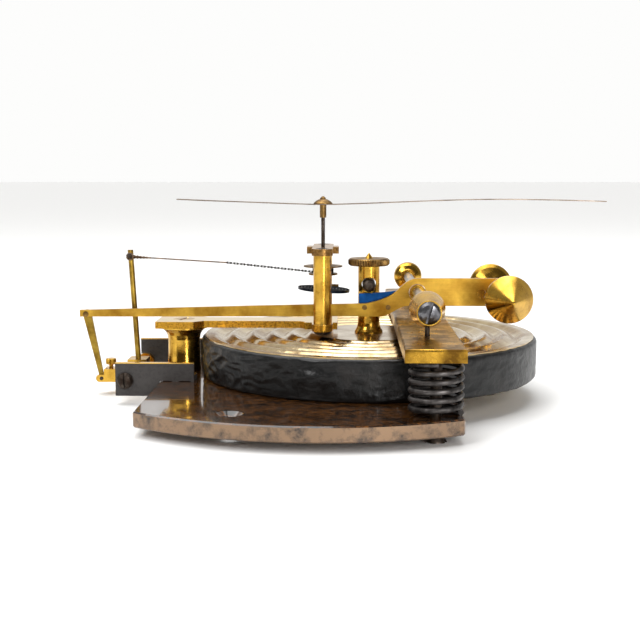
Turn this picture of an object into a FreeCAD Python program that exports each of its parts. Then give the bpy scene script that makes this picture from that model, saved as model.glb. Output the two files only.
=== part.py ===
import FreeCAD, Part
import math
import os

# Aneroid barometer movement: a vacuum chamber whose centre post rocks a long lever, which turns a
# rocker through a link; the rocker's rod draws a wire and chain off a drum on the pointer's arbor.
# Millimetres. Origin: on the arbor's axis, 0.4 mm above the base plate's upper face. +X to the
# pointer's long end, +Y to the back, +Z up. Where two pieces are alike, "front" is the one towards -Y.

V = FreeCAD.Vector
UP = V(0, 0, 1)
BACK = V(0, 1, 0)
FRONT = V(0, -1, 0)

# Base plate; the origin lies just above its upper face
BASE_R = 51.6
BASE_T = 2.8
BASE_TOP = -0.4
BASE_LOW = BASE_TOP - BASE_T
BASE_X = (-31.5, 24.5)
BASE_CHAMFER = 0.25
FOOT_Z = BASE_LOW - 1.65
CASE_HOLE = (-14.9, 42.3)
CASE_HOLE_R = 1.1
CASE_HEAD_R = 2.4
CASE_HEAD_H = 1.2

# Vacuum chamber
CHAMBER_X = 9.3
CHAMBER_R = 33.7
CHAMBER_TOP = 7.6
WAX_T = 0.6
RING_T = 0.7
SHEET_T = 0.3
RIDGE_IN_R = 11.5
RIDGE_PITCH = 4.0
RIDGE_COUNT = 5
RIDGE_DEPTH = 0.85
STUD_R = 1.5
STUD_HEAD = [(0, -BASE_T), (3.0, -BASE_T), (STUD_R, -1.3), (STUD_R, 0), (0, 0)]
FLANGE_R = 3.6
FLANGE_TOP = 0.9
PIPE_X = -10.5
PIPE_Z = 3.7
LEAF_HALF_X = 5.9
LEAF_T = 0.45
LEAF_WIDTH = 4.0

# Centre post
POST_R = 2.17
POST_TOP = 21.25
POST_BORE_R = 1.0
PIN_Z = 17.4
PIN_R = 1.3
PIN_HOLE_R = 1.45
PIN_Y = (-3.75, 2.85)
NUT_R = 4.2
NUT_H = 1.45
NUT_RIDGES = 48

# Fulcrum bar, springs and adjusting screws
BAR_X = (14.25, 24.35)
BAR_Z = (9.4, 11.65)
BAR_HALF_Y = 48.5
BAR_ROUNDING = 0.45
FULCRUM_X = 18.9
FULCRUM_Z = 13.9
FULCRUM_PIN_R = 0.45
FULCRUM_PIN_LOW = 10.45
FULCRUM_EDGE_R = 0.3
SPRING_X = 19.8
SPRING_Y = 42.5
SPRING_R = 4.2
SPRING_WIRE_R = 0.52
SPRING_TURNS = 5.75
SCREW_SHANK_R = 1.0
SCREW_TOP = 10.8
RUNNING = 0.05

# Lever
LEVER_Y = (-4.4, -3.4)
LEVER_END = -48.85
STRIP_Y = (-3.4, -2.6)
AXLE_Z = 16.2
AXLE_R = 1.0
HUB_R = 1.62
HUB_Y = (-5.2, -2.2)
KNOB_Y = 33.0
KNOB_END = 4.8
KNOB_SCREW_R = 2.0
RIVETS = ((8.4, 13.17), (13.1, 13.2))
RIVET_R = 0.5
TAIL_PIN = (31.6, 15.9)
TAIL_PIN_R = 0.95
LEVER_PIN = (-47.65, 11.64)
LEVER_PIN_R = 0.4
WEIGHT_X = 35.7
WEIGHT_Z = 15.9
WEIGHT_R = 4.55
WEIGHT_Y = -13.5
WEIGHT_ROD_R = 0.9
WEIGHT_ROD_Y = 15.0

# Link and slider
LINK_Y = (-3.35, -2.75)
LINK_FOOT = (-44.9, -1.55)
LINK_EYE_R = 0.45
LINK_PIN_R = 0.2
SLIDER_X = (-44.4, -42.0)
SLIDER_Y = (-3.9, -0.4)
SLIDER_Z = (-2.3, 0.35)
FORK_Y = (-3.9, -2.2)
FORK_SLOT_Y = (-3.45, -2.65)
FORK_NOSE = (-45.3, -1.55)
FORK_NOSE_R = 0.75
THUMB_XY = (-43.4, -1.4)
THUMB_HEAD_Z = (1.0, 2.2)
THUMB_HEAD_R = 1.05
THUMB_SHANK_R = 0.44

# Rocker
ROCKER_X = -38.2
ROCKER_Z = -0.25
ROCKER_R = 0.8
ROCKER_Y = (-11.8, 13.8)
COLLAR_R = 1.9
COLLAR_Y = (8.2, 9.8)
BLOCK_X = (-40.0, -36.2)
BLOCK_Y = (-1.6, 3.0)
BLOCK_Z = (-1.8, 1.95)
ARM_X = (-45.7, -39.6)
ARM_Y = (-2.0, -0.8)
ARM_Z = (-1.8, -0.75)
ARM_FIT = 0.02
ROD_FOOT = V(-38.0, 0, 1.3)
ROD_TOP = V(-39.2, 0, 24.3)
ROD_R = 0.55
ROD_PIN = (-39.14, 23.2)
ROD_PIN_R = 0.3

# Draw wire and chain
EYE_R = (0.56, 0.8)
EYE_DROP = 0.2
EYE_Y = (-1.15, -0.8)
HOOK_R = 0.17
HOOK_END = V(-34.6, -0.98, 22.8)
WIRE_R = 0.15
CHAIN_START = V(-19.2, -1.87, 21.85)
CHAIN_END = V(0, -2.75, 20.0)
CHAIN_R = 0.24

# Brackets
BRACKET_T = 1.0
FRONT_PLATE_Y = -13.3
REAR_PLATE_Y = 15.3
FRONT_PLATE_TOP = 3.3
REAR_PLATE_TOP = 4.0
BRACKET_X = (-40.1, -24.8)
BRACKET_LOW = -3.25
BRACKET_FOOT_Y = 5.0
BRACKET_SCREW_Y = 3.0
BRACKET_SCREWS_X = (-29.6, -26.2)
BRACKET_NOTCHES_X = (-30.2, -26.6)
BRACKET_SCREW_R = 0.6
PIVOT_R = 0.9
PIVOT_HEAD_R = 1.64
BRACKET_SEAT = [(0, 0), (BRACKET_SCREW_R, 0), (BRACKET_SCREW_R, 0.5), (1.1, 1.0), (0, 1.0)]

# Bridge and arbor frame
BRIDGE_Z = (8.8, 10.2)
PILLAR_X = -28.5
PILLAR_R = 3.3
PILLAR_SCREW_R = 1.25
BRIDGE_SCREW_R = (1.25, 2.2)
BRIDGE_SEAT = [(0, BRIDGE_Z[0]), (BRIDGE_SCREW_R[0], BRIDGE_Z[0]), (BRIDGE_SCREW_R[0], 9.25),
               (BRIDGE_SCREW_R[1], BRIDGE_Z[1]), (0, BRIDGE_Z[1])]
FRAME_Y = 7.2
FRAME_R = 1.75
LOBE_R = 2.05
COCK_Z = (23.75, 25.1)
FRAME_SCREW_R = 0.7
FRAME_SCREW_L = 4.6
SUNK_HEAD = [(FRAME_SCREW_R, -0.6), (1.3, 0), (0, 0)]
ROUND_HEAD = [(FRAME_SCREW_R, 0), (1.7, 0), (1.65, 0.3), (1.3, 0.65), (0, 0.65)]

# Arbor, drum, hairspring, pointer
ARBOR_R = 0.38
ARBOR_Z = (9.15, 33.2)
PIVOT_HOLE_R = 0.3
DRUM_R = 1.7
DRUM_Z = (19.65, 20.95)
CHAIN_T = 0.55
TURN_H = 0.58
HAIRSPRING_Z = (16.15, 16.65)
HAIRSPRING_R = (0.98, 5.45)
HAIRSPRING_TURNS = 7
HAIRSPRING_T = 0.12
HAIRSPRING_END = 60
HAIRSPRING_TILT = 4.0
POINTER_Z = 33.45
POINTER_T = 0.2
POINTER_X = (-29.5, 56.8)
POINTER_FLAT = 2.2
BOSS_R = 0.66
BOSS_LOW = 30.9


def placed(shape, x=0.0, y=0.0, z=0.0, axis=UP):
    """The shape with its own +Z turned to axis and its origin moved to the point."""
    moved = shape.copy()
    moved.Placement = FreeCAD.Placement(V(x, y, z), FreeCAD.Rotation(UP, axis))
    return moved


def turned(profile, x=0.0, y=0.0, z=0.0, axis=UP):
    """Turned piece from (radius, height) points that start and end on its axis."""
    points = [V(r, 0, h) for r, h in profile]
    face = Part.Face(Part.makePolygon(points + points[:1]))
    return placed(face.revolve(V(0, 0, 0), UP, 360), x, y, z, axis)


def rod(r, start, end):
    """Round rod between two points."""
    return Part.makeCylinder(r, (end - start).Length, start, end - start)


def cross_rod(r, x, z, y0, y1):
    """Round rod along Y."""
    return Part.makeCylinder(r, y1 - y0, V(x, y0, z), BACK)


def box(x, y, z):
    """Block from three (low, high) pairs."""
    return Part.makeBox(x[1] - x[0], y[1] - y[0], z[1] - z[0], V(x[0], y[0], z[0]))


def side_plate(edges, y):
    """Plate that stands in the XZ plane, from the edges of its outline and its two Y faces."""
    return Part.Face(Part.Wire(edges)).extrude(V(0, y[1] - y[0], 0))


def xz_points(pairs, y):
    """Points at one Y from (x, z) pairs."""
    return [V(x, y, z) for x, z in pairs]


def chain_of_lines(points):
    """Straight edges from each point to the next."""
    return [Part.LineSegment(a, b).toShape() for a, b in zip(points, points[1:])]


def smooth_edge(points):
    """One smooth edge through the points."""
    curve = Part.BSplineCurve()
    curve.interpolate(points)
    return curve.toShape()


def mirrored(shape):
    """The same piece on the other side of the XZ plane."""
    return shape.mirror(V(0, 0, 0), BACK)


def knurled(r, depth, height, ridges, bevel):
    """Disc with straight ridges round its rim and both rims bevelled."""
    points = []
    for i in range(2 * ridges):
        radius = r if i % 2 == 0 else r - depth
        angle = math.pi * i / ridges
        points.append(V(radius * math.cos(angle), radius * math.sin(angle), 0))
    star = Part.Face(Part.makePolygon(points + points[:1])).extrude(V(0, 0, height))
    blank = [(0, 0), (r - bevel, 0), (r, bevel), (r, height - bevel), (r - bevel, height), (0, height)]
    return star.common(turned(blank))


def slotted(head, x, y, z, slot_size, axis, turn=0.0):
    """Head with a driver's slot (width, depth, half length) in its end; axis points out of the head."""
    width, depth, half = slot_size
    slot = box((-half, half), (-width / 2, width / 2), (-depth, depth))
    facing = FreeCAD.Rotation(UP, axis).multiply(FreeCAD.Rotation(UP, turn))
    slot.Placement = FreeCAD.Placement(V(x, y, z), facing)
    return head.cut(slot)


def base_plate():
    """Plate cut from a disc, with two straight sides and its screw holes."""
    disc = Part.makeCylinder(BASE_R, BASE_T, V(0, 0, BASE_LOW))
    plate = disc.common(box(BASE_X, (-BASE_R, BASE_R), (BASE_LOW, BASE_TOP)))
    plate = plate.makeChamfer(BASE_CHAMFER, plate.Edges)
    seat_z = BASE_TOP - CASE_HEAD_H
    case_hole = [(0, BASE_LOW), (CASE_HOLE_R, BASE_LOW), (CASE_HOLE_R, seat_z), (CASE_HEAD_R, BASE_TOP),
                 (0, BASE_TOP)]
    for side in (-1, 1):
        plate = plate.cut(turned(case_hole, CASE_HOLE[0], side * CASE_HOLE[1]))
        screw_way = V(SPRING_X, side * SPRING_Y, BASE_LOW)
        plate = plate.cut(Part.makeCylinder(SCREW_SHANK_R + RUNNING, BASE_T, screw_way))
    plate = plate.cut(Part.makeCylinder(PILLAR_SCREW_R, BASE_T, V(PILLAR_X, 0, BASE_LOW)))
    plate = plate.cut(turned(STUD_HEAD, CHAMBER_X, 0, BASE_TOP))
    for x, y in bracket_screw_places():
        plate = plate.cut(Part.makeCylinder(BRACKET_SCREW_R, 2.2, V(x, y, BASE_TOP - 2.2)))
    return plate


def chamber_stud():
    """Screw let into the base from below, with the flange that is soldered inside the chamber."""
    flange = [(0, 0), (STUD_R, 0), (STUD_R, SHEET_T), (FLANGE_R, SHEET_T), (FLANGE_R, FLANGE_TOP),
              (0, FLANGE_TOP)]
    stud = turned(STUD_HEAD).fuse(turned(flange)).removeSplitter()
    return placed(stud, CHAMBER_X, 0, BASE_TOP)


def chamber_ring():
    """Side wall of the vacuum chamber, under the wax."""
    outer = CHAMBER_R - WAX_T
    low = BASE_TOP + SHEET_T
    height = CHAMBER_TOP - SHEET_T - low
    ring = Part.makeCylinder(outer, height, V(CHAMBER_X, 0, low))
    return ring.cut(Part.makeCylinder(outer - RING_T, height, V(CHAMBER_X, 0, low)))


def wax_coat():
    """Sealing wax on the wall, thicker over the soldered stub of the evacuation pipe."""
    inner = CHAMBER_R - WAX_T
    low = BASE_TOP + 0.1
    top = CHAMBER_TOP - 0.25
    profile = [(inner, low), (CHAMBER_R - 0.2, low), (CHAMBER_R, low + 0.3), (CHAMBER_R, top - 0.4),
               (CHAMBER_R - 0.3, top), (inner, top)]
    coat = turned(profile, CHAMBER_X)
    pipe_y = -math.sqrt(CHAMBER_R ** 2 - PIPE_X ** 2)
    stub = turned([(0, -0.5), (2.6, -0.5), (2.1, 0.25), (1.0, 0.7), (0, 0.8)],
                  CHAMBER_X + PIPE_X, pipe_y, PIPE_Z, V(PIPE_X, pipe_y, 0))
    stub = stub.cut(Part.makeCylinder(inner, CHAMBER_TOP, V(CHAMBER_X, 0, 0)))
    return coat.fuse(stub).removeSplitter()


def corrugated_disc(inner_r, z_low, dip):
    """Thin disc with concentric ridges; dip is the height of a ridge's middle above the flat."""
    ridge_out_r = RIDGE_IN_R + RIDGE_PITCH * RIDGE_COUNT
    steps = 8 * RIDGE_COUNT
    wave = []
    for i in range(steps + 1):
        r = RIDGE_IN_R + (ridge_out_r - RIDGE_IN_R) * i / steps
        phase = 2 * math.pi * RIDGE_COUNT * i / steps
        wave.append((r, dip * (1 - math.cos(phase)) / 2))
    rim_r = CHAMBER_R - WAX_T
    edges = []
    for z in (z_low, z_low + SHEET_T):
        flat = V(inner_r, 0, z)
        middle = [V(r, 0, z + h) for r, h in wave]
        edges.append(Part.LineSegment(flat, middle[0]).toShape())
        edges.append(smooth_edge(middle))
        edges.append(Part.LineSegment(middle[-1], V(rim_r, 0, z)).toShape())
    edges.append(Part.LineSegment(V(rim_r, 0, z_low), V(rim_r, 0, z_low + SHEET_T)).toShape())
    edges.append(Part.LineSegment(V(inner_r, 0, z_low), V(inner_r, 0, z_low + SHEET_T)).toShape())
    face = Part.Face(Part.Wire(Part.__sortEdges__(edges)))
    return placed(face.revolve(V(0, 0, 0), UP, 360), CHAMBER_X)


def coil_spring(x, y, z0, z1, coil_r, wire_r, turns):
    """Coil of round wire between two heights, standing on its end turns."""
    pitch = (z1 - z0 - 2 * wire_r) / turns
    helix = Part.makeHelix(pitch, pitch * turns, coil_r)
    section = Part.Wire(Part.makeCircle(wire_r, V(coil_r, 0, 0), BACK))
    coil = Part.Wire(helix.Edges).makePipeShell([section], True, True)
    return placed(coil, x, y, z0 + wire_r)


def oval(half_x, half_y):
    """Oval face round the origin."""
    return Part.Face(Part.Wire(Part.Ellipse(V(0, 0, 0), half_x, half_y).toShape()))


def chamber_spring():
    """Oval leaf spring that stands on the stud's flange and holds the two sheets apart."""
    low = BASE_TOP + FLANGE_TOP
    high = CHAMBER_TOP - SHEET_T
    half_z = (high - low) / 2
    leaf = oval(LEAF_HALF_X, half_z).cut(oval(LEAF_HALF_X - LEAF_T, half_z - LEAF_T))
    leaf = leaf.extrude(V(0, 0, LEAF_WIDTH))
    leaf.rotate(V(0, 0, 0), V(1, 0, 0), 90)
    leaf.translate(V(CHAMBER_X, LEAF_WIDTH / 2, low + half_z))
    return leaf


def centre_post():
    """Turned post with a flared foot, a cross hole for the pin and a bore for the screw."""
    foot = CHAMBER_TOP
    post = turned([(0, foot), (2.85, foot), (2.85, foot + 0.35), (2.6, foot + 0.75), (2.35, foot + 1.3),
                   (2.22, foot + 2.0), (POST_R, foot + 3.0), (POST_R, POST_TOP), (0, POST_TOP)], CHAMBER_X)
    hole_z = PIN_Z + PIN_HOLE_R - PIN_R
    post = post.cut(cross_rod(PIN_HOLE_R, CHAMBER_X, hole_z, -POST_R - 1, POST_R + 1))
    return post.cut(Part.makeCylinder(POST_BORE_R, POST_TOP - PIN_Z, V(CHAMBER_X, 0, PIN_Z)))


def post_screw():
    """Screw down the post onto the pin, with its pointed end above the thumb nut."""
    foot = PIN_Z + PIN_R
    top = POST_TOP + NUT_H
    return turned([(0, foot), (0.95, foot), (0.95, top), (0.85, top), (0, top + 1.15)], CHAMBER_X)


def post_pin():
    """Round-ended steel pin that the lever's strip bears on."""
    length = PIN_Y[1] - PIN_Y[0]
    nose = [(0, 0), (0.7, 0.05), (1.1, 0.3), (PIN_R, 0.7), (PIN_R, length), (0, length)]
    return turned(nose, CHAMBER_X, PIN_Y[0], PIN_Z, BACK)


def thumb_nut():
    """Knurled nut on the post's screw."""
    nut = knurled(NUT_R, 0.22, NUT_H, NUT_RIDGES, 0.35)
    return placed(nut.cut(Part.makeCylinder(POST_BORE_R, NUT_H)), CHAMBER_X, 0, POST_TOP)


def fulcrum_bar():
    """Bar across the chamber that carries the lever's fulcrums."""
    bar = box(BAR_X, (-BAR_HALF_Y, BAR_HALF_Y), BAR_Z)
    top_edges = [edge for edge in bar.Edges if min(v.Z for v in edge.Vertexes) > BAR_Z[1] - 0.01]
    bar = bar.makeFillet(BAR_ROUNDING, top_edges)
    for side in (-1, 1):
        shank = Part.makeCylinder(SCREW_SHANK_R + RUNNING, SCREW_TOP + 0.2 - BAR_Z[0],
                                  V(SPRING_X, side * SPRING_Y, BAR_Z[0]))
        pin = Part.makeCylinder(FULCRUM_PIN_R, 2.0, V(FULCRUM_X, side * KNOB_Y, FULCRUM_PIN_LOW))
        bar = bar.cut(shank).cut(pin)
    return bar


def adjusting_screw():
    """Screw from below the base that draws the bar down; its cone-shaped head is a foot."""
    profile = [(0, FOOT_Z), (1.95, FOOT_Z), (1.35, BASE_LOW), (SCREW_SHANK_R, BASE_LOW),
               (SCREW_SHANK_R, SCREW_TOP), (0, SCREW_TOP)]
    screw = turned(profile, SPRING_X, -SPRING_Y)
    return slotted(screw, SPRING_X, -SPRING_Y, FOOT_Z, (0.6, 0.6, 3), V(0, 0, -1), 30)


def fulcrum_pins():
    """Two steel pins that stand in the bar; the round edge across each top is the lever's fulcrum."""
    pins = []
    for side in (-1, 1):
        y = side * KNOB_Y
        stem = Part.makeCylinder(FULCRUM_PIN_R, FULCRUM_Z - FULCRUM_PIN_LOW, V(FULCRUM_X, y, FULCRUM_PIN_LOW))
        shoulders = box((FULCRUM_EDGE_R, 1), (-1, 1), (-0.5, 1))
        for turn in (0, 180):
            cut = shoulders.copy()
            cut.Placement = FreeCAD.Placement(V(FULCRUM_X, y, FULCRUM_Z), FreeCAD.Rotation(UP, turn))
            stem = stem.cut(cut)
        edge = cross_rod(FULCRUM_EDGE_R, FULCRUM_X, FULCRUM_Z, y - 0.3, y + 0.3)
        pins.append(stem.fuse(edge).removeSplitter())
    return Part.makeCompound(pins)


def lever_axle():
    """Steel rod across the movement between the two knobs."""
    return cross_rod(AXLE_R, FULCRUM_X, AXLE_Z, -KNOB_Y, KNOB_Y)


def lever_hub():
    """Brass hub of the axle in the lever."""
    return cross_rod(HUB_R, FULCRUM_X, AXLE_Z, *HUB_Y).cut(lever_axle())


def axle_knob():
    """Bell-shaped knob on the axle's front end, with a seat for the fulcrum pin below."""
    bell = [(0, -2.9), (1.6, -2.9), (1.75, -2.5), (2.5, -2.1), (3.05, -1.6), (3.2, -1.0), (3.18, -0.2),
            (2.98, 1.0), (2.65, 2.4), (2.35, 3.8), (2.15, KNOB_END), (0, KNOB_END)]
    knob = turned(bell, FULCRUM_X, -KNOB_Y, AXLE_Z, FRONT)
    knob = knob.cut(cross_rod(AXLE_R, FULCRUM_X, AXLE_Z, -KNOB_Y, 0))
    seat_z = FULCRUM_Z + 0.1
    knob = knob.cut(Part.makeCylinder(0.65, 3, V(FULCRUM_X, -KNOB_Y, seat_z - 3)))
    groove_r = FULCRUM_EDGE_R + ARM_FIT
    return knob.cut(cross_rod(groove_r, FULCRUM_X, FULCRUM_Z, -KNOB_Y - 0.6, -KNOB_Y + 0.6))


def knob_screws():
    """Two domed screws in the knobs' ends, one slot in each."""
    dome = [(0, 0), (KNOB_SCREW_R, 0), (1.9, 0.35), (1.45, 0.75), (0.75, 0.98), (0, 1.05)]
    screw = turned(dome, FULCRUM_X, -KNOB_Y - KNOB_END, AXLE_Z, FRONT)
    screw = slotted(screw, FULCRUM_X, -KNOB_Y - KNOB_END - 1.05, AXLE_Z, (0.36, 0.62, 3), FRONT, 73)
    return Part.makeCompound([screw, mirrored(screw)])


def lever_outline(y):
    """Outline of the lever: long arm to the left, gooseneck over the fulcrum, deep tail."""
    top = xz_points([(LEVER_END, 12.45), (-12.4, 13.47), (5.5, 13.87), (8.6, 13.97)], y)
    neck = [(8.6, 13.97), (11.4, 14.68), (14.4, 16.2), (16.4, 18.04), (17.8, 18.8), (19.4, 19.0)]
    tail = xz_points([(19.4, 19.0), (36.6, 19.03), (38.4, 17.6), (38.4, 14.9), (36.6, 13.5), (17.6, 13.5)], y)
    throat = [(17.6, 13.5), (15.8, 13.25), (14.0, 12.26), (12.6, 11.55), (11.0, 11.34)]
    under = xz_points([(11.0, 11.34), (5.5, 11.4), (-12.4, 11.3), (LEVER_END, 11.14), (LEVER_END, 12.45)], y)
    edges = chain_of_lines(top) + [smooth_edge(xz_points(neck, y))] + chain_of_lines(tail)
    return edges + [smooth_edge(xz_points(throat, y))] + chain_of_lines(under)


def lever():
    """Long brass lever, with holes for the hub, rivets, pins and counterweight rod."""
    plate = side_plate(lever_outline(LEVER_Y[0]), LEVER_Y)
    holes = [(HUB_R + 0.09, FULCRUM_X, AXLE_Z), (WEIGHT_ROD_R, WEIGHT_X, WEIGHT_Z), (LEVER_PIN_R, *LEVER_PIN),
             (TAIL_PIN_R, *TAIL_PIN)]
    holes += [(RIVET_R, x, z) for x, z in RIVETS]
    for r, x, z in holes:
        plate = plate.cut(cross_rod(r, x, z, LEVER_Y[0] - 1, LEVER_Y[1] + 1))
    return plate


def compensation_strip():
    """Steel strip riveted behind the lever; its top edge carries the post's pin."""
    outline = xz_points([(7.26, 12.3), (7.26, 15.85), (9.4, 15.9), (12.5, 16.15), (15.0, 16.45),
                         (15.0, 14.2), (13.4, 12.3), (7.26, 12.3)], STRIP_Y[0])
    strip = side_plate(chain_of_lines(outline), STRIP_Y)
    for x, z in RIVETS:
        strip = strip.cut(cross_rod(RIVET_R, x, z, STRIP_Y[0] - 1, STRIP_Y[1] + 1))
    return strip


def strip_rivets():
    """Two rivets through lever and strip."""
    return Part.makeCompound([cross_rod(RIVET_R, x, z, LEVER_Y[0] - 0.1, STRIP_Y[1] + 0.1) for x, z in RIVETS])


def tail_pin():
    """Small stud in the lever's tail, cut down on one side."""
    x, z = TAIL_PIN
    stud = cross_rod(TAIL_PIN_R, x, z, LEVER_Y[0] - 0.5, LEVER_Y[1] + 0.5)
    return stud.cut(box((x + 0.5, x + 2), (LEVER_Y[0] - 1, LEVER_Y[1] + 1), (z - 1, z + 2)))


def counterweight_rod():
    """Steel rod across the lever's tail."""
    return cross_rod(WEIGHT_ROD_R, WEIGHT_X, WEIGHT_Z, -WEIGHT_ROD_Y, WEIGHT_ROD_Y)


def counterweight():
    """Spun brass cone on the rod's front end: hollow bore, two rim grooves, domed inner side."""
    inner = -1.9
    groove_r = WEIGHT_R - 0.12
    bore_r = WEIGHT_ROD_R + RUNNING
    bore_end = WEIGHT_ROD_Y + WEIGHT_Y + 0.1
    cone = [(bore_r, inner), (1.6, inner), (2.8, -1.3), (3.9, -0.55), (WEIGHT_R - 0.1, 0), (WEIGHT_R, 0.15),
            (WEIGHT_R, 0.45), (groove_r, 0.5), (groove_r, 0.6), (WEIGHT_R, 0.65), (WEIGHT_R, 0.95),
            (WEIGHT_R - 0.2, 1.25), (0.35, 6.75), (0, 6.9), (0, bore_end), (bore_r, bore_end)]
    return turned(cone, WEIGHT_X, WEIGHT_Y, WEIGHT_Z, FRONT)


def lever_pin():
    """Headed pin that the link hangs from."""
    x, z = LEVER_PIN
    pin = cross_rod(LEVER_PIN_R, x, z, LEVER_Y[0], LINK_Y[1] + 0.15)
    return pin.fuse(cross_rod(0.58, x, z, LEVER_Y[0] - 0.2, LEVER_Y[0])).removeSplitter()


def link():
    """Tapered strip between the lever's end and the slider block."""
    y0, y1 = LINK_Y
    top = V(LEVER_PIN[0], y0, LEVER_PIN[1])
    foot = V(LINK_FOOT[0], y0, LINK_FOOT[1])
    along = (foot - top).normalize()
    across = V(-along.z, 0, along.x)
    corners = [top + across * 0.85, foot + across * 0.42, foot - across * 0.42, top - across * 0.85]
    strip = side_plate(chain_of_lines(corners + corners[:1]), LINK_Y)
    strip = strip.fuse(cross_rod(0.85, top.x, top.z, y0, y1)).fuse(cross_rod(0.68, foot.x, foot.z, y0, y1))
    for end in (top, foot):
        strip = strip.cut(cross_rod(LINK_EYE_R, end.x, end.z, y0 - 1, y1 + 1))
    return strip.removeSplitter()


def slider_block():
    """Block that slides on the rocker's arm, forked to take the link."""
    block = box(SLIDER_X, SLIDER_Y, SLIDER_Z)
    nose_x, nose_z = FORK_NOSE
    ears = box((nose_x, SLIDER_X[0]), FORK_Y, (nose_z - FORK_NOSE_R, nose_z + FORK_NOSE_R))
    block = block.fuse(ears).fuse(cross_rod(FORK_NOSE_R, nose_x, nose_z, *FORK_Y)).removeSplitter()
    block = block.cut(box((nose_x - 1, SLIDER_X[0] + 0.6), FORK_SLOT_Y, (SLIDER_Z[0] - 1, SLIDER_Z[1] + 1)))
    arm_way = [(low - ARM_FIT, high + ARM_FIT) for low, high in (ARM_Y, ARM_Z)]
    block = block.cut(box((ARM_X[0], SLIDER_X[1] + 1), *arm_way))
    block = block.cut(cross_rod(LINK_PIN_R, LINK_FOOT[0], LINK_FOOT[1], FORK_Y[0] - 1, FORK_Y[1] + 1))
    return block.cut(Part.makeCylinder(THUMB_SHANK_R + ARM_FIT, 2, V(THUMB_XY[0], THUMB_XY[1], ARM_Z[1])))


def link_pin():
    """Thin headed pin through the fork."""
    x, z = LINK_FOOT
    head_y = FORK_Y[0] - 0.12
    pin = cross_rod(LINK_PIN_R, x, z, FORK_Y[0], FORK_Y[1])
    return pin.fuse(cross_rod(0.38, x, z, head_y, FORK_Y[0])).removeSplitter()


def thumb_screw():
    """Knurled screw that clamps the slider block to the arm."""
    x, y = THUMB_XY
    low, high = THUMB_HEAD_Z
    foot = ARM_Z[1] + ARM_FIT
    head = placed(knurled(THUMB_HEAD_R, 0.07, high - low, 26, 0.14), x, y, low)
    return head.fuse(Part.makeCylinder(THUMB_SHANK_R, low - foot, V(x, y, foot))).removeSplitter()


def rocker_arbor():
    """Brass arbor between the pivot screws, with a collar near the back and dished ends."""
    arbor = cross_rod(ROCKER_R, ROCKER_X, ROCKER_Z, *ROCKER_Y)
    arbor = arbor.fuse(cross_rod(COLLAR_R, ROCKER_X, ROCKER_Z, *COLLAR_Y)).removeSplitter()
    dish = [(0, 0), (0.46, 0), (0.09, 0.68), (0, 0.68)]
    for y, axis in ((ROCKER_Y[0], BACK), (ROCKER_Y[1], FRONT)):
        arbor = arbor.cut(turned(dish, ROCKER_X, y, ROCKER_Z, axis))
    return arbor


def rocker_block():
    """Block on the arbor that holds the rod, with the short arm for the slider."""
    block = box(BLOCK_X, BLOCK_Y, BLOCK_Z).fuse(box(ARM_X, ARM_Y, ARM_Z)).removeSplitter()
    block = block.cut(cross_rod(ROCKER_R, ROCKER_X, ROCKER_Z, BLOCK_Y[0] - 1, BLOCK_Y[1] + 1))
    return block.cut(rod(ROD_R, ROD_FOOT, ROD_TOP))


def rocker_rod():
    """Upright rod whose top draws the wire."""
    upright = rod(ROD_R, ROD_FOOT, ROD_TOP)
    return upright.cut(cross_rod(ROD_PIN_R, ROD_PIN[0], ROD_PIN[1], -2, 2))


def rod_pin():
    """Headed pin through the rod's top that the wire's eye hangs on."""
    pin = cross_rod(ROD_PIN_R, ROD_PIN[0], ROD_PIN[1], -1.3, 0.8)
    head = cross_rod(0.5, ROD_PIN[0], ROD_PIN[1], -1.5, -1.3)
    return pin.fuse(head).removeSplitter()


def draw_wire():
    """Eye round the rod's pin, thick hook, and wire to the chain."""
    x, pin_z = ROD_PIN
    z = pin_z - EYE_DROP
    hole_r, rim_r = EYE_R
    hook = rod(HOOK_R, V(x + hole_r, HOOK_END.y, z), HOOK_END)
    eye = cross_rod(rim_r, x, z, *EYE_Y).fuse(hook)
    eye = eye.cut(cross_rod(hole_r, x, z, EYE_Y[0] - 1, EYE_Y[1] + 1))
    return eye.fuse(rod(WIRE_R, HOOK_END, CHAIN_START)).removeSplitter()


def draw_chain():
    """Straight run of chain from the wire to the drum."""
    return rod(CHAIN_R, CHAIN_START, CHAIN_END)


def pivot_screw(face_y, end_y, axis):
    """Domed, slotted screw through a bracket's face, with a cone-shaped pivot at the arbor's end."""
    stem = abs(face_y - end_y)
    dome = 1.15
    profile = [(0, -stem - 0.62), (0.05, -stem - 0.62), (0.5, 0.2 - stem), (PIVOT_R, 0.2 - stem), (PIVOT_R, 0),
               (PIVOT_HEAD_R, 0), (1.6, 0.4), (1.2, 0.85), (0.6, 1.1), (0, dome)]
    screw = turned(profile, ROCKER_X, face_y, ROCKER_Z, axis)
    return slotted(screw, ROCKER_X, face_y + dome * axis.y, ROCKER_Z, (0.36, 0.75, 3), axis, 95)


def pivot_screws():
    """The front and rear pivot screws."""
    return Part.makeCompound([pivot_screw(FRONT_PLATE_Y, ROCKER_Y[0], FRONT),
                              pivot_screw(REAR_PLATE_Y, ROCKER_Y[1], BACK)])


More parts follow.
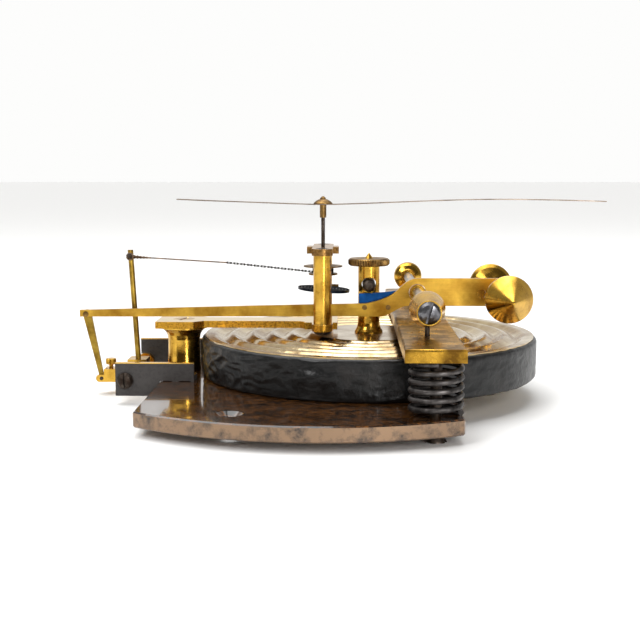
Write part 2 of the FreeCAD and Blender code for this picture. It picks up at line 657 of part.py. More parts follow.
def bracket(face_y, inward, top_z):
    """Upright plate beside the base with a foot on it; inward is the foot's direction in Y."""
    thickness = sorted((face_y, face_y + inward * BRACKET_T))
    foot_y = sorted((face_y + inward * BRACKET_T, face_y + inward * BRACKET_FOOT_Y))
    plate = box(BRACKET_X, thickness, (BASE_TOP, top_z))
    drop = box((BRACKET_X[0], BASE_X[0] - 0.1), thickness, (BRACKET_LOW, BASE_TOP))
    foot = box((BASE_X[0] + 0.5, BRACKET_X[1]), foot_y, (BASE_TOP, BASE_TOP + 1.0))
    piece = plate.fuse(drop).fuse(foot).removeSplitter()
    piece = piece.cut(cross_rod(PIVOT_R, ROCKER_X, ROCKER_Z, thickness[0] - 1, thickness[1] + 1))
    for x in BRACKET_NOTCHES_X:
        piece = piece.cut(box((x - 1.1, x + 1.1), thickness, (BASE_TOP, BASE_TOP + 0.12)))
    for x in BRACKET_SCREWS_X:
        piece = piece.cut(turned(BRACKET_SEAT, x, face_y + inward * BRACKET_SCREW_Y, BASE_TOP))
    return piece


def bracket_screw_places():
    """Place of each bracket screw, as (x, y)."""
    sides = (FRONT_PLATE_Y + BRACKET_SCREW_Y, REAR_PLATE_Y - BRACKET_SCREW_Y)
    return [(x, y) for x in BRACKET_SCREWS_X for y in sides]


def bracket_screws():
    """Four countersunk screws that hold the brackets to the base."""
    profile = [(0, -2.2), (BRACKET_SCREW_R, -2.2)] + BRACKET_SEAT[2:]
    screws = []
    for x, y in bracket_screw_places():
        screw = turned(profile, x, y, BASE_TOP)
        screws.append(slotted(screw, x, y, BASE_TOP + 1.0, (0.25, 0.3, 2), UP, 40))
    return Part.makeCompound(screws)


def bridge_pillar():
    """Pillar with a hollow-curved flare under the bridge and a tapped hole at each end."""
    top = BRIDGE_Z[0]
    pillar = turned([(0, BASE_TOP), (PILLAR_R + 0.15, BASE_TOP), (PILLAR_R, 3.0), (PILLAR_R - 0.05, 6.2),
                     (PILLAR_R + 0.1, 7.1), (PILLAR_R + 0.4, 7.7), (4.25, 8.25), (4.8, 8.45), (4.8, top),
                     (0, top)], PILLAR_X)
    pillar = pillar.cut(Part.makeCylinder(PILLAR_SCREW_R, 4.4, V(PILLAR_X, 0, BASE_TOP)))
    return pillar.cut(Part.makeCylinder(BRIDGE_SCREW_R[0], top - 5.0, V(PILLAR_X, 0, 5.0)))


def pillar_screw():
    """Screw from below the base into the pillar; its head is the third foot."""
    profile = [(0, FOOT_Z), (2.6, FOOT_Z), (2.1, BASE_LOW), (PILLAR_SCREW_R, BASE_LOW), (PILLAR_SCREW_R, 3.9),
               (0, 3.9)]
    return slotted(turned(profile, PILLAR_X), PILLAR_X, 0, FOOT_Z, (0.6, 0.6, 4), V(0, 0, -1))


def bridge_screw():
    """Countersunk screw through the bridge into the pillar."""
    screw = turned([(0, 5.2), (BRIDGE_SCREW_R[0], 5.2)] + BRIDGE_SEAT[2:], PILLAR_X)
    return slotted(screw, PILLAR_X, 0, BRIDGE_Z[1], (0.45, 0.5, 3), UP, 75)


def frame_screw_profile(head):
    """Profile of a frame screw up to its head, which starts or ends at height 0."""
    return [(0, -FRAME_SCREW_L), (FRAME_SCREW_R, -FRAME_SCREW_L)] + head


def frame_screw(head, slot_z, x, y, z, axis):
    """Slotted screw whose head is at the point and faces along the axis."""
    screw = turned(frame_screw_profile(head), x, y, z, axis)
    return slotted(screw, x, y, z + slot_z * axis.z, (0.28, 0.35, 2), axis, 25)


def frame_screws():
    """Four screws: two round-headed up through the bridge, two countersunk down through the cock."""
    screws = []
    for y in (-FRAME_Y, FRAME_Y):
        screws.append(frame_screw(ROUND_HEAD, 0.65, 0, y, BRIDGE_Z[0], V(0, 0, -1)))
        screws.append(frame_screw(SUNK_HEAD, 0, 0, y, COCK_Z[1], UP))
    return Part.makeCompound(screws)


def screw_way(head, x, y, z, axis):
    """Space that a frame screw takes."""
    return turned(frame_screw_profile(head), x, y, z, axis)


def bridge_plate():
    """Plate from the pillar to the arbor, wider at the pillar and crossed at the arbor."""
    z0, z1 = BRIDGE_Z
    outline = [(-33.6, -4.9), (-25.9, -4.9), (-24.0, -3.0), (-4.6, -3.0), (-3.6, -3.9), (-3.6, -5.0),
               (2.95, -5.0)]
    outline += [(x, -y) for x, y in reversed(outline)]
    points = [V(x, y, z0) for x, y in outline]
    plate = Part.Face(Part.makePolygon(points + points[:1])).extrude(V(0, 0, z1 - z0))
    plate = plate.fuse(box((-LOBE_R, LOBE_R), (-FRAME_Y, FRAME_Y), BRIDGE_Z))
    for y in (-FRAME_Y, FRAME_Y):
        plate = plate.fuse(Part.makeCylinder(LOBE_R, z1 - z0, V(0, y, z0)))
    plate = plate.removeSplitter()
    for y in (-FRAME_Y, FRAME_Y):
        plate = plate.cut(screw_way(ROUND_HEAD, 0, y, z0, V(0, 0, -1)))
    plate = plate.cut(turned(BRIDGE_SEAT, PILLAR_X))
    return plate.cut(Part.makeCylinder(PIVOT_HOLE_R, z1, V(0, 0, ARBOR_Z[0] - 0.05)))


def frame_pillar():
    """Front pillar of the arbor frame, tapped at both ends."""
    y = -FRAME_Y
    pillar = Part.makeCylinder(FRAME_R, COCK_Z[0] - BRIDGE_Z[1], V(0, y, BRIDGE_Z[1]))
    pillar = pillar.cut(screw_way(ROUND_HEAD, 0, y, BRIDGE_Z[0], V(0, 0, -1)))
    return pillar.cut(screw_way(SUNK_HEAD, 0, y, COCK_Z[1], UP))


def top_cock():
    """Cross-shaped cock that holds the arbor's upper bearing."""
    z0, z1 = COCK_Z
    cock = box((-LOBE_R, LOBE_R), (-FRAME_Y - 0.9, FRAME_Y + 0.9), COCK_Z)
    cock = cock.fuse(box((-3.2, 3.2), (-2.15, 2.15), COCK_Z))
    for y in (-FRAME_Y, FRAME_Y):
        cock = cock.fuse(Part.makeCylinder(LOBE_R, z1 - z0, V(0, y, z0)))
    cock = cock.removeSplitter()
    for y in (-FRAME_Y, FRAME_Y):
        cock = cock.cut(screw_way(SUNK_HEAD, 0, y, z1, UP))
    return cock.cut(Part.makeCylinder(ARBOR_R + RUNNING, z1 - z0, V(0, 0, z0)))


def hand_arbor():
    """Slim steel arbor with a fine lower pivot."""
    low, top = ARBOR_Z
    return turned([(0, low), (0.25, low), (0.25, 10.35), (ARBOR_R, 10.4), (ARBOR_R, top), (0, top)])


def chain_drum():
    """Drum between two discs, the upper one larger, with a short hub on top."""
    low, high = DRUM_Z
    return turned([(ARBOR_R, low - 0.3), (2.93, low - 0.3), (2.93, low), (DRUM_R, low), (DRUM_R, high),
                   (3.93, high), (3.93, high + 0.25), (0.9, high + 0.25), (0.9, high + 0.95),
                   (ARBOR_R, high + 0.95)])


def chain_turns():
    """Two turns of chain lying on the drum."""
    turns = []
    for z in (DRUM_Z[0] + 0.03, DRUM_Z[0] + 0.67):
        ring = Part.makeCylinder(DRUM_R + CHAIN_T, TURN_H, V(0, 0, z))
        turns.append(ring.cut(Part.makeCylinder(DRUM_R, TURN_H, V(0, 0, z))))
    return Part.makeCompound(turns)


def hairspring_collet():
    """Collet that holds the inner end of the hairspring."""
    return turned([(ARBOR_R, 15.8), (0.85, 15.8), (0.85, 17.0), (ARBOR_R, 17.0)])


def hairspring():
    """Flat spiral of steel strip round the arbor, sagging a little to the right."""
    r0, r1 = HAIRSPRING_R
    steps = 16 * HAIRSPRING_TURNS
    low, high = HAIRSPRING_Z
    sides = []
    for offset in (-HAIRSPRING_T / 2, HAIRSPRING_T / 2):
        points = []
        for i in range(steps + 1):
            angle = math.radians(HAIRSPRING_END) - 2 * math.pi * HAIRSPRING_TURNS * (1 - i / steps)
            r = r0 + (r1 - r0) * i / steps + offset
            points.append(V(r * math.cos(angle), r * math.sin(angle), (low - high) / 2))
        sides.append(points)
    inner, outer = sides
    edges = [smooth_edge(inner), Part.LineSegment(inner[-1], outer[-1]).toShape(),
             smooth_edge(outer), Part.LineSegment(outer[0], inner[0]).toShape()]
    face = Part.Face(Part.Wire(Part.__sortEdges__(edges)))
    spiral = face.extrude(V(0, 0, high - low))
    spiral.Placement = FreeCAD.Placement(V(0, 0, (low + high) / 2), FreeCAD.Rotation(BACK, HAIRSPRING_TILT))
    return spiral


def hairspring_stud():
    """Small elbow on the rear pillar that holds the hairspring's outer end."""
    height = (15.7, 16.8)
    arm = box((0, 3.1), (5.75, 6.5), height)
    tip = box((2.45, 3.1), (HAIRSPRING_R[1] * math.sin(math.radians(HAIRSPRING_END)) + 0.14, 6.5), height)
    stud = arm.fuse(tip).removeSplitter()
    return stud.cut(Part.makeCylinder(FRAME_R, 20, V(0, FRAME_Y, 10)))


def pointer_boss():
    """Sleeve on the arbor's top with a mushroom cap that clamps the pointer."""
    top = ARBOR_Z[1]
    seat = POINTER_Z + POINTER_T
    return turned([(0, top), (ARBOR_R, top), (ARBOR_R, BOSS_LOW), (BOSS_R, BOSS_LOW), (BOSS_R, seat),
                   (1.9, seat), (1.9, seat + 0.15), (1.55, seat + 0.5), (1.05, seat + 0.8), (0.6, seat + 0.98),
                   (0.55, seat + 1.2), (0.2, seat + 1.5), (0, seat + 1.55)])


def pointer_edge(lift):
    """Line along the pointer from end to end, flat where the boss clamps it."""
    left, right = POINTER_X
    flat = POINTER_FLAT
    tail = [(left, 1.0), (-22, 0.68), (-14, 0.4), (-7, 0.14), (-flat, 0)]
    hand = [(flat, 0), (9, 0.22), (16, 0.5), (32, 1.0), (46, 0.9), (right, 0.6)]
    tail, hand = ([V(x, -3, POINTER_Z + z + lift) for x, z in side] for side in (tail, hand))
    flat_part = Part.LineSegment(tail[-1], hand[0]).toShape()
    return [smooth_edge(tail), flat_part, smooth_edge(hand)], tail[0], hand[-1]


def pointer():
    """Thin steel pointer, bowed up slightly, with a wider counterpoise tail."""
    left, right = POINTER_X
    low, low_tail, low_tip = pointer_edge(0)
    high, high_tail, high_tip = pointer_edge(POINTER_T)
    ends = [Part.LineSegment(low_tail, high_tail).toShape(), Part.LineSegment(low_tip, high_tip).toShape()]
    band = Part.Face(Part.Wire(Part.__sortEdges__(low + high + ends))).extrude(V(0, 6, 0))
    half = [(left, 0.9), (-23.7, 1.2), (-22.5, 0.55), (-3.0, 0.7), (-1.4, 1.5), (1.4, 1.5), (3.0, 0.75),
            (right - 3, 0.35), (right, 0.1)]
    outline = half + [(x, -y) for x, y in reversed(half)]
    points = [V(x, y, POINTER_Z - 1) for x, y in outline]
    plan = Part.Face(Part.makePolygon(points + points[:1])).extrude(V(0, 0, 4))
    return band.common(plan).cut(Part.makeCylinder(BOSS_R, 4, V(0, 0, POINTER_Z - 1)))


def build():
    """Every sub-part by its node name."""
    front_spring = coil_spring(SPRING_X, -SPRING_Y, BASE_TOP, BAR_Z[0], SPRING_R, SPRING_WIRE_R, SPRING_TURNS)
    return {
        "base_plate": base_plate(),
        "chamber_stud": chamber_stud(),
        "chamber_ring": chamber_ring(),
        "wax_coat": wax_coat(),
        "lower_diaphragm": corrugated_disc(STUD_R, BASE_TOP, RIDGE_DEPTH),
        "upper_diaphragm": corrugated_disc(0, CHAMBER_TOP - SHEET_T, -RIDGE_DEPTH),
        "chamber_spring": chamber_spring(),
        "centre_post": centre_post(),
        "post_pin": post_pin(),
        "post_screw": post_screw(),
        "thumb_nut": thumb_nut(),
        "fulcrum_bar": fulcrum_bar(),
        "fulcrum_spring_front": front_spring,
        "fulcrum_spring_rear": mirrored(front_spring),
        "adjusting_screw_front": adjusting_screw(),
        "adjusting_screw_rear": mirrored(adjusting_screw()),
        "fulcrum_pins": fulcrum_pins(),
        "lever_axle": lever_axle(),
        "lever_hub": lever_hub(),
        "axle_knob_front": axle_knob(),
        "axle_knob_rear": mirrored(axle_knob()),
        "knob_screws": knob_screws(),
        "lever": lever(),
        "compensation_strip": compensation_strip(),
        "strip_rivets": strip_rivets(),
        "tail_pin": tail_pin(),
        "counterweight_rod": counterweight_rod(),
        "counterweight_front": counterweight(),
        "counterweight_rear": mirrored(counterweight()),
        "lever_pin": lever_pin(),
        "link": link(),
        "slider_block": slider_block(),
        "link_pin": link_pin(),
        "thumb_screw": thumb_screw(),
        "rocker_arbor": rocker_arbor(),
        "rocker_block": rocker_block(),
        "rocker_rod": rocker_rod(),
        "rod_pin": rod_pin(),
        "draw_wire": draw_wire(),
        "draw_chain": draw_chain(),
        "pivot_screws": pivot_screws(),
        "bracket_front": bracket(FRONT_PLATE_Y, 1, FRONT_PLATE_TOP),
        "bracket_rear": bracket(REAR_PLATE_Y, -1, REAR_PLATE_TOP),
        "bracket_screws": bracket_screws(),
        "bridge_pillar": bridge_pillar(),
        "pillar_screw": pillar_screw(),
        "bridge_screw": bridge_screw(),
        "bridge_plate": bridge_plate(),
        "frame_pillar_front": frame_pillar(),
        "frame_pillar_rear": mirrored(frame_pillar()),
        "frame_screws": frame_screws(),
        "top_cock": top_cock(),
        "hand_arbor": hand_arbor(),
        "chain_drum": chain_drum(),
        "chain_turns": chain_turns(),
        "hairspring_collet": hairspring_collet(),
        "hairspring": hairspring(),
        "hairspring_stud": hairspring_stud(),
        "pointer_boss": pointer_boss(),
        "pointer": pointer(),
    }


def main():
    """Write one STEP file for each sub-part."""
    os.makedirs("parts", exist_ok=True)
    for name, shape in build().items():
        solids = shape.Solids
        valid = all(solid.isValid() and solid.isClosed() for solid in solids)
        print(f"{name}: {len(solids)} solid(s), {shape.Volume:.1f} mm3, valid {valid}")
        shape.exportStep(f"parts/{name}.step")


main()
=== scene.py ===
"""Early aneroid barometer movement: the looks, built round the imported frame.

The sub-assemblies are the base plate, the vacuum chamber with its centre post, the fulcrum bar on its
springs, the lever with its counterweights, the rocker with link and slider, the draw wire and chain,
the bridge with the arbor frame, and the hand. Sizes are in millimetres where a name says so.
"""

import logging
import math
from collections.abc import Sequence
from dataclasses import dataclass
from enum import Enum

import bmesh
import bpy
from mathutils import Matrix, Vector, noise


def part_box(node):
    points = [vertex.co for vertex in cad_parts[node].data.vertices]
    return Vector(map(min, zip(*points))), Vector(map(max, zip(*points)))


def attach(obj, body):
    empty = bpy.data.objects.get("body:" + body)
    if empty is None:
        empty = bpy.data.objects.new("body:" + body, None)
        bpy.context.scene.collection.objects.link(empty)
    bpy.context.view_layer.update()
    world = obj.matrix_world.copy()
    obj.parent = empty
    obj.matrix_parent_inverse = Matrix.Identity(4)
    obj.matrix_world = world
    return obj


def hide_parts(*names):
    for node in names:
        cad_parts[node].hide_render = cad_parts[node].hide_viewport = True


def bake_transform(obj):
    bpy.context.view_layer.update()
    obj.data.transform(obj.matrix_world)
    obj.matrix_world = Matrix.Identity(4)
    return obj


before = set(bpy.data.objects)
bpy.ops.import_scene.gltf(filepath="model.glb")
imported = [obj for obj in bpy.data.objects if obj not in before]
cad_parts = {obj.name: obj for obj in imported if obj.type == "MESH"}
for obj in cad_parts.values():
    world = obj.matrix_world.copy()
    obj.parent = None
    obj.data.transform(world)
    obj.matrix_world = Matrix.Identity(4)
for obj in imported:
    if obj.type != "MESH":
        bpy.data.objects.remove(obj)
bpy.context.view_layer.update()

MM = 0.001
WELD_MM = 1e-4
SENSOR_MM = 36.0
DAYLIGHT_SPREAD_DEG = 55
LOG = logging.getLogger("barometer")

Triple = tuple[float, float, float]


# ---------------------------------------------------------------- small tools


def linear(colour: str) -> tuple[float, float, float, float]:
    """Turn an sRGB hex colour into linear RGBA.

    Args:
        colour: Colour as "#rrggbb".

    Returns:
        The four linear channels, alpha 1.
    """
    channels = [int(colour[i:i + 2], 16) / 255 for i in (1, 3, 5)]
    curved = [c / 12.92 if c <= 0.04045 else ((c + 0.055) / 1.055) ** 2.4 for c in channels]
    return (curved[0], curved[1], curved[2], 1.0)


def add(tree: bpy.types.NodeTree, kind: str, inputs: dict | None = None, **settings) -> bpy.types.Node:
    """Add a node, set its properties, and link or set its inputs.

    Args:
        tree: Node tree to add to.
        kind: Blender's name for the node type.
        inputs: Input name or index to a value, or to an output socket to link.
        **settings: Properties of the node.

    Returns:
        The new node.
    """
    node = tree.nodes.new(kind)
    for key, value in settings.items():
        setattr(node, key, value)
    for key, value in (inputs or {}).items():
        if isinstance(value, bpy.types.NodeSocket):
            tree.links.new(value, node.inputs[key])
        else:
            node.inputs[key].default_value = value
    return node


# ---------------------------------------------------------------- finishes


class Lines(Enum):
    """How a metal's surface was cut, which sets the way its fine lines run."""

    TURNED = "turned"
    ALONG_X = "along x"
    ALONG_Y = "along y"
    CAST = "cast"


class Axis(Enum):
    """A row axis, as the index of its coordinate."""

    X = 0
    Y = 1
    Z = 2


@dataclass(frozen=True)
class Finish:
    """A finish with a name; its material is made once."""

    name: str

    def material(self) -> bpy.types.Material:
        """Make the material, or find it if it was made before.

        Returns:
            The material.
        """
        found = bpy.data.materials.get(self.name)
        if found:
            return found
        material = bpy.data.materials.new(self.name)
        material.use_nodes = True
        tree = material.node_tree
        tree.nodes.clear()
        shader = add(tree, "ShaderNodeBsdfPrincipled")
        add(tree, "ShaderNodeOutputMaterial", {"Surface": shader.outputs[0]})
        self.paint(tree, shader)
        return material

    def paint(self, tree: bpy.types.NodeTree, shader: bpy.types.Node) -> None:
        """Wire the finish's nodes into the shader.

        Args:
            tree: The material's node tree.
            shader: Its Principled shader.
        """
        raise NotImplementedError


@dataclass(frozen=True)
class Metal(Finish):
    """Bare or lacquered metal with tool lines, cloudy toning and small spots.

    Attributes:
        clean: Colour where the metal is clean.
        toned: Colour where it has toned.
        toned_share: How much of the surface is toned, 0 to 1.
        patch_mm: Size of the toned clouds.
        roughness: Roughness of the clean metal.
        toned_roughness: Roughness where it has toned.
        lines: Which way the tool lines run.
        line_mm: Spacing of the tool lines.
        line_depth_mm: Depth of the tool lines.
        centre: Point on the turning axis, in millimetres.
        axis: Direction of the turning axis.
        spots: Colour of the small spots.
        spot_share: How much of the surface is spotted, 0 to 1.
    """

    clean: str = "#e0b050"
    toned: str = "#9a6a24"
    toned_share: float = 0.3
    patch_mm: float = 3.0
    roughness: float = 0.18
    toned_roughness: float = 0.35
    lines: Lines = Lines.CAST
    line_mm: float = 0.12
    line_depth_mm: float = 0.004
    centre: Triple = (0.0, 0.0, 0.0)
    axis: Axis = Axis.Z
    spots: str = "#4a3016"
    spot_share: float = 0.1

    def paint(self, tree: bpy.types.NodeTree, shader: bpy.types.Node) -> None:
        """Wire clouds, spots and tool lines into the shader.

        Args:
            tree: The material's node tree.
            shader: Its Principled shader.
        """
        place = self.place(tree)
        cloud = add(tree, "ShaderNodeTexNoise",
                    {"Vector": place, "Scale": 1 / self.patch_mm, "Detail": 5.0, "Roughness": 0.6})
        edge = 0.62 - 0.3 * self.toned_share
        toned = add(tree, "ShaderNodeMapRange",
                    {"Value": cloud.outputs[0], "From Min": edge - 0.1, "From Max": edge + 0.16})
        speck = add(tree, "ShaderNodeTexNoise",
                    {"Vector": place, "Scale": 4 / self.patch_mm, "Detail": 6.0, "Roughness": 0.75})
        spotted = add(tree, "ShaderNodeMapRange",
                      {"Value": speck.outputs[0], "From Min": 0.72 - 0.2 * self.spot_share,
                       "From Max": 0.8 - 0.2 * self.spot_share, "To Max": 0.75})
        lines = self.tool_lines(tree, place)
        base = add(tree, "ShaderNodeMix", {0: toned.outputs[0], 6: linear(self.clean),
                                           7: linear(self.toned)}, data_type="RGBA")
        streaked = add(tree, "ShaderNodeMapRange", {"Value": lines, "From Min": 0.3, "From Max": 0.75,
                                                    "To Min": 0.0, "To Max": 0.28})
        lined = add(tree, "ShaderNodeMix", {0: streaked.outputs[0], 6: base.outputs[2],
                                            7: linear(self.toned)}, data_type="RGBA")
        colour = add(tree, "ShaderNodeMix", {0: spotted.outputs[0], 6: lined.outputs[2],
                                             7: linear(self.spots)}, data_type="RGBA")
        rough = add(tree, "ShaderNodeMix", {0: toned.outputs[0], 2: self.roughness,
                                            3: self.toned_roughness})
        varied = add(tree, "ShaderNodeMath", {0: lines, 1: 0.12, 2: rough.outputs[0]},
                     operation="MULTIPLY_ADD")
        relief = add(tree, "ShaderNodeBump", {"Height": lines, "Distance": self.line_depth_mm * MM,
                                              "Strength": 1.0})
        tree.links.new(colour.outputs[2], shader.inputs["Base Color"])
        tree.links.new(varied.outputs[0], shader.inputs["Roughness"])
        tree.links.new(relief.outputs[0], shader.inputs["Normal"])
        shader.inputs["Metallic"].default_value = 1.0

    def place(self, tree: bpy.types.NodeTree) -> bpy.types.NodeSocket:
        """Millimetres from the centre, as a socket."""
        where = add(tree, "ShaderNodeTexCoord")
        moved = add(tree, "ShaderNodeMapping", {"Vector": where.outputs["Object"],
                                                "Location": [-c for c in self.centre],
                                                "Scale": (1 / MM, 1 / MM, 1 / MM)})
        return moved.outputs[0]

    def tool_lines(self, tree: bpy.types.NodeTree, place: bpy.types.NodeSocket) -> bpy.types.NodeSocket:
        """Height of the tool lines, 0 to 1.

        Args:
            tree: The material's node tree.
            place: Millimetres from the centre.

        Returns:
            The height's socket.
        """
        if self.lines is Lines.TURNED:
            return self.turned_lines(tree, place)
        stretch = {Lines.ALONG_X: (0.02, 1.0, 1.0), Lines.ALONG_Y: (1.0, 0.02, 1.0),
                   Lines.CAST: (1.0, 1.0, 1.0)}[self.lines]
        drawn = add(tree, "ShaderNodeVectorMath", {0: place, 1: stretch}, operation="MULTIPLY")
        grain = add(tree, "ShaderNodeTexNoise",
                    {"Vector": drawn.outputs[0], "Scale": 1 / self.line_mm, "Detail": 3.0,
                     "Roughness": 0.6})
        return grain.outputs[0]

    def turned_lines(self, tree: bpy.types.NodeTree, place: bpy.types.NodeSocket) -> bpy.types.NodeSocket:
        """Rings round the turning axis: they follow height on a side and radius on an end face."""
        along = [1.0 if i == self.axis.value else 0.0 for i in range(3)]
        across = [1.0 - a for a in along]
        height = add(tree, "ShaderNodeVectorMath", {0: place, 1: along}, operation="DOT_PRODUCT")
        flat = add(tree, "ShaderNodeVectorMath", {0: place, 1: across}, operation="MULTIPLY")
        radius = add(tree, "ShaderNodeVectorMath", {0: flat.outputs[0]}, operation="LENGTH")
        distance = add(tree, "ShaderNodeMath", {0: height.outputs["Value"], 1: radius.outputs["Value"]},
                       operation="ADD")
        rings = add(tree, "ShaderNodeTexNoise", {"W": distance.outputs[0], "Scale": 1 / self.line_mm,
                                                 "Detail": 3.0, "Roughness": 0.6}, noise_dimensions="1D")
        return rings.outputs[0]


@dataclass(frozen=True)
class EdgedPlate(Finish):
    """A plate whose upper face is one finish and whose sides are another.

    Attributes:
        top_mm: Height of the upper face.
        worn_mm: How far below it the upper face's finish still shows.
        top: Colours of the upper face, ground then streak.
        side: Colours of the sides, ground then spots.
        top_metallic: 1 where the upper face is bare metal.
        side_metallic: 1 where the sides are bare metal.
        top_roughness: Roughness of the upper face.
        side_roughness: Roughness of the sides.
        streak_mm: Width of the streaks; they run along X.
        streak_share: How much of the upper face is streaked, 0 to 1.
        stipple_mm: Grain of the sides.
        stipple_depth_mm: Depth of that grain.
        coat: Weight of the clear varnish.
    """

    top_mm: float = 0.0
    worn_mm: float = 0.06
    top: tuple[str, str] = ("#140d09", "#6e4420")
    side: tuple[str, str] = ("#8a6a48", "#3c2a1c")
    top_metallic: float = 0.0
    side_metallic: float = 0.0
    top_roughness: float = 0.12
    side_roughness: float = 0.4
    streak_mm: float = 0.9
    streak_share: float = 0.4
    stipple_mm: float = 1.5
    stipple_depth_mm: float = 0.02
    coat: float = 0.0

    def paint(self, tree: bpy.types.NodeTree, shader: bpy.types.Node) -> None:
        """Wire the two finishes and the height that parts them into the shader.

        Args:
            tree: The material's node tree.
            shader: Its Principled shader.
        """
        where = add(tree, "ShaderNodeTexCoord")
        place = add(tree, "ShaderNodeVectorMath", {0: where.outputs["Object"], 1: (1 / MM,) * 3},
                    operation="MULTIPLY")
        split = add(tree, "ShaderNodeSeparateXYZ", {0: place.outputs[0]})
        high = add(tree, "ShaderNodeMapRange", {"Value": split.outputs["Z"],
                                                "From Min": self.top_mm - self.worn_mm,
                                                "From Max": self.top_mm - 0.6 * self.worn_mm})
        facing = add(tree, "ShaderNodeNewGeometry")
        upward = add(tree, "ShaderNodeSeparateXYZ", {0: facing.outputs["True Normal"]})
        level = add(tree, "ShaderNodeMapRange", {"Value": upward.outputs["Z"], "From Min": 0.3,
                                                 "From Max": 0.4})
        above = add(tree, "ShaderNodeMath", {0: high.outputs[0], 1: level.outputs[0]},
                    operation="MAXIMUM")
        drawn = add(tree, "ShaderNodeVectorMath", {0: place.outputs[0], 1: (0.4, 1.0, 1.0)},
                    operation="MULTIPLY")
        streak = add(tree, "ShaderNodeTexNoise", {"Vector": drawn.outputs[0], "Scale": 1 / self.streak_mm,
                                                  "Detail": 7.0, "Roughness": 0.72, "Distortion": 1.6})
        streaked = add(tree, "ShaderNodeMapRange", {"Value": streak.outputs[0],
                                                    "From Min": 0.64 - 0.2 * self.streak_share,
                                                    "From Max": 0.84 - 0.2 * self.streak_share})
        upper = add(tree, "ShaderNodeMix", {0: streaked.outputs[0], 6: linear(self.top[0]),
                                            7: linear(self.top[1])}, data_type="RGBA")
        grain = add(tree, "ShaderNodeTexNoise", {"Vector": place.outputs[0], "Scale": 1 / self.stipple_mm,
                                                 "Detail": 5.0, "Roughness": 0.7})
        worn = add(tree, "ShaderNodeMapRange", {"Value": grain.outputs[0], "From Min": 0.46,
                                                "From Max": 0.66})
        lower = add(tree, "ShaderNodeMix", {0: worn.outputs[0], 6: linear(self.side[0]),
                                            7: linear(self.side[1])}, data_type="RGBA")
        colour = add(tree, "ShaderNodeMix", {0: above.outputs[0], 6: lower.outputs[2], 7: upper.outputs[2]},
                     data_type="RGBA")
        rough = add(tree, "ShaderNodeMix", {0: above.outputs[0], 2: self.side_roughness,
                                            3: self.top_roughness})
        metal = add(tree, "ShaderNodeMix", {0: above.outputs[0], 2: self.side_metallic,
                                            3: self.top_metallic})
        below = add(tree, "ShaderNodeMath", {0: 1.0, 1: above.outputs[0]}, operation="SUBTRACT")
        rise = add(tree, "ShaderNodeMath", {0: grain.outputs[0], 1: below.outputs[0]}, operation="MULTIPLY")
        relief = add(tree, "ShaderNodeBump", {"Height": rise.outputs[0], "Strength": 1.0,
                                              "Distance": self.stipple_depth_mm * MM})
        tree.links.new(colour.outputs[2], shader.inputs["Base Color"])
        tree.links.new(rough.outputs[0], shader.inputs["Roughness"])
        tree.links.new(metal.outputs[0], shader.inputs["Metallic"])
        tree.links.new(relief.outputs[0], shader.inputs["Normal"])
        shader.inputs["Coat Weight"].default_value = self.coat
        shader.inputs["Coat Roughness"].default_value = 0.03


@dataclass(frozen=True)
class SealingWax(Finish):
    """Black varnished wax, brushed on hot: soft gloss with dusty grey bloom on its high spots."""

    ground: str = "#060606"
    bloom: str = "#3e3a38"
    bloom_mm: float = 6.0
    roughness: float = 0.34

    def paint(self, tree: bpy.types.NodeTree, shader: bpy.types.Node) -> None:
        """Wire ground, bloom and brush ripples into the shader.

        Args:
            tree: The material's node tree.
            shader: Its Principled shader.
        """
        where = add(tree, "ShaderNodeTexCoord")
        place = add(tree, "ShaderNodeVectorMath", {0: where.outputs["Object"], 1: (1 / MM,) * 3},
                    operation="MULTIPLY")
        cloud = add(tree, "ShaderNodeTexNoise", {"Vector": place.outputs[0], "Scale": 1 / self.bloom_mm,
                                                 "Detail": 6.0, "Roughness": 0.6})
        dusty = add(tree, "ShaderNodeMapRange", {"Value": cloud.outputs[0], "From Min": 0.54,
                                                 "From Max": 0.75, "To Max": 0.4})
        colour = add(tree, "ShaderNodeMix", {0: dusty.outputs[0], 6: linear(self.ground),
                                             7: linear(self.bloom)}, data_type="RGBA")
        rough = add(tree, "ShaderNodeMath", {0: cloud.outputs[0], 1: 0.35, 2: self.roughness - 0.12},
                    operation="MULTIPLY_ADD")
        ripple = add(tree, "ShaderNodeTexNoise", {"Vector": place.outputs[0], "Scale": 0.9, "Detail": 5.0,
                                                  "Roughness": 0.5, "Distortion": 0.8})
        relief = add(tree, "ShaderNodeBump", {"Height": ripple.outputs[0], "Strength": 1.0,
                                              "Distance": 0.12 * MM})
        tree.links.new(colour.outputs[2], shader.inputs["Base Color"])
        tree.links.new(rough.outputs[0], shader.inputs["Roughness"])
        tree.links.new(relief.outputs[0], shader.inputs["Normal"])
        shader.inputs["IOR"].default_value = 1.42
        shader.inputs["Coat Weight"].default_value = 0.12
        shader.inputs["Coat Roughness"].default_value = 0.18


@dataclass(frozen=True)
class PaintedBoard(Finish):
    """Matt painted board that the object stands on."""

    colour: str = "#f4f4f3"

    def paint(self, tree: bpy.types.NodeTree, shader: bpy.types.Node) -> None:
        """Set the matt white.

        Args:
            tree: The material's node tree.
            shader: Its Principled shader.
        """
        shader.inputs["Base Color"].default_value = linear(self.colour)
        shader.inputs["Roughness"].default_value = 0.9


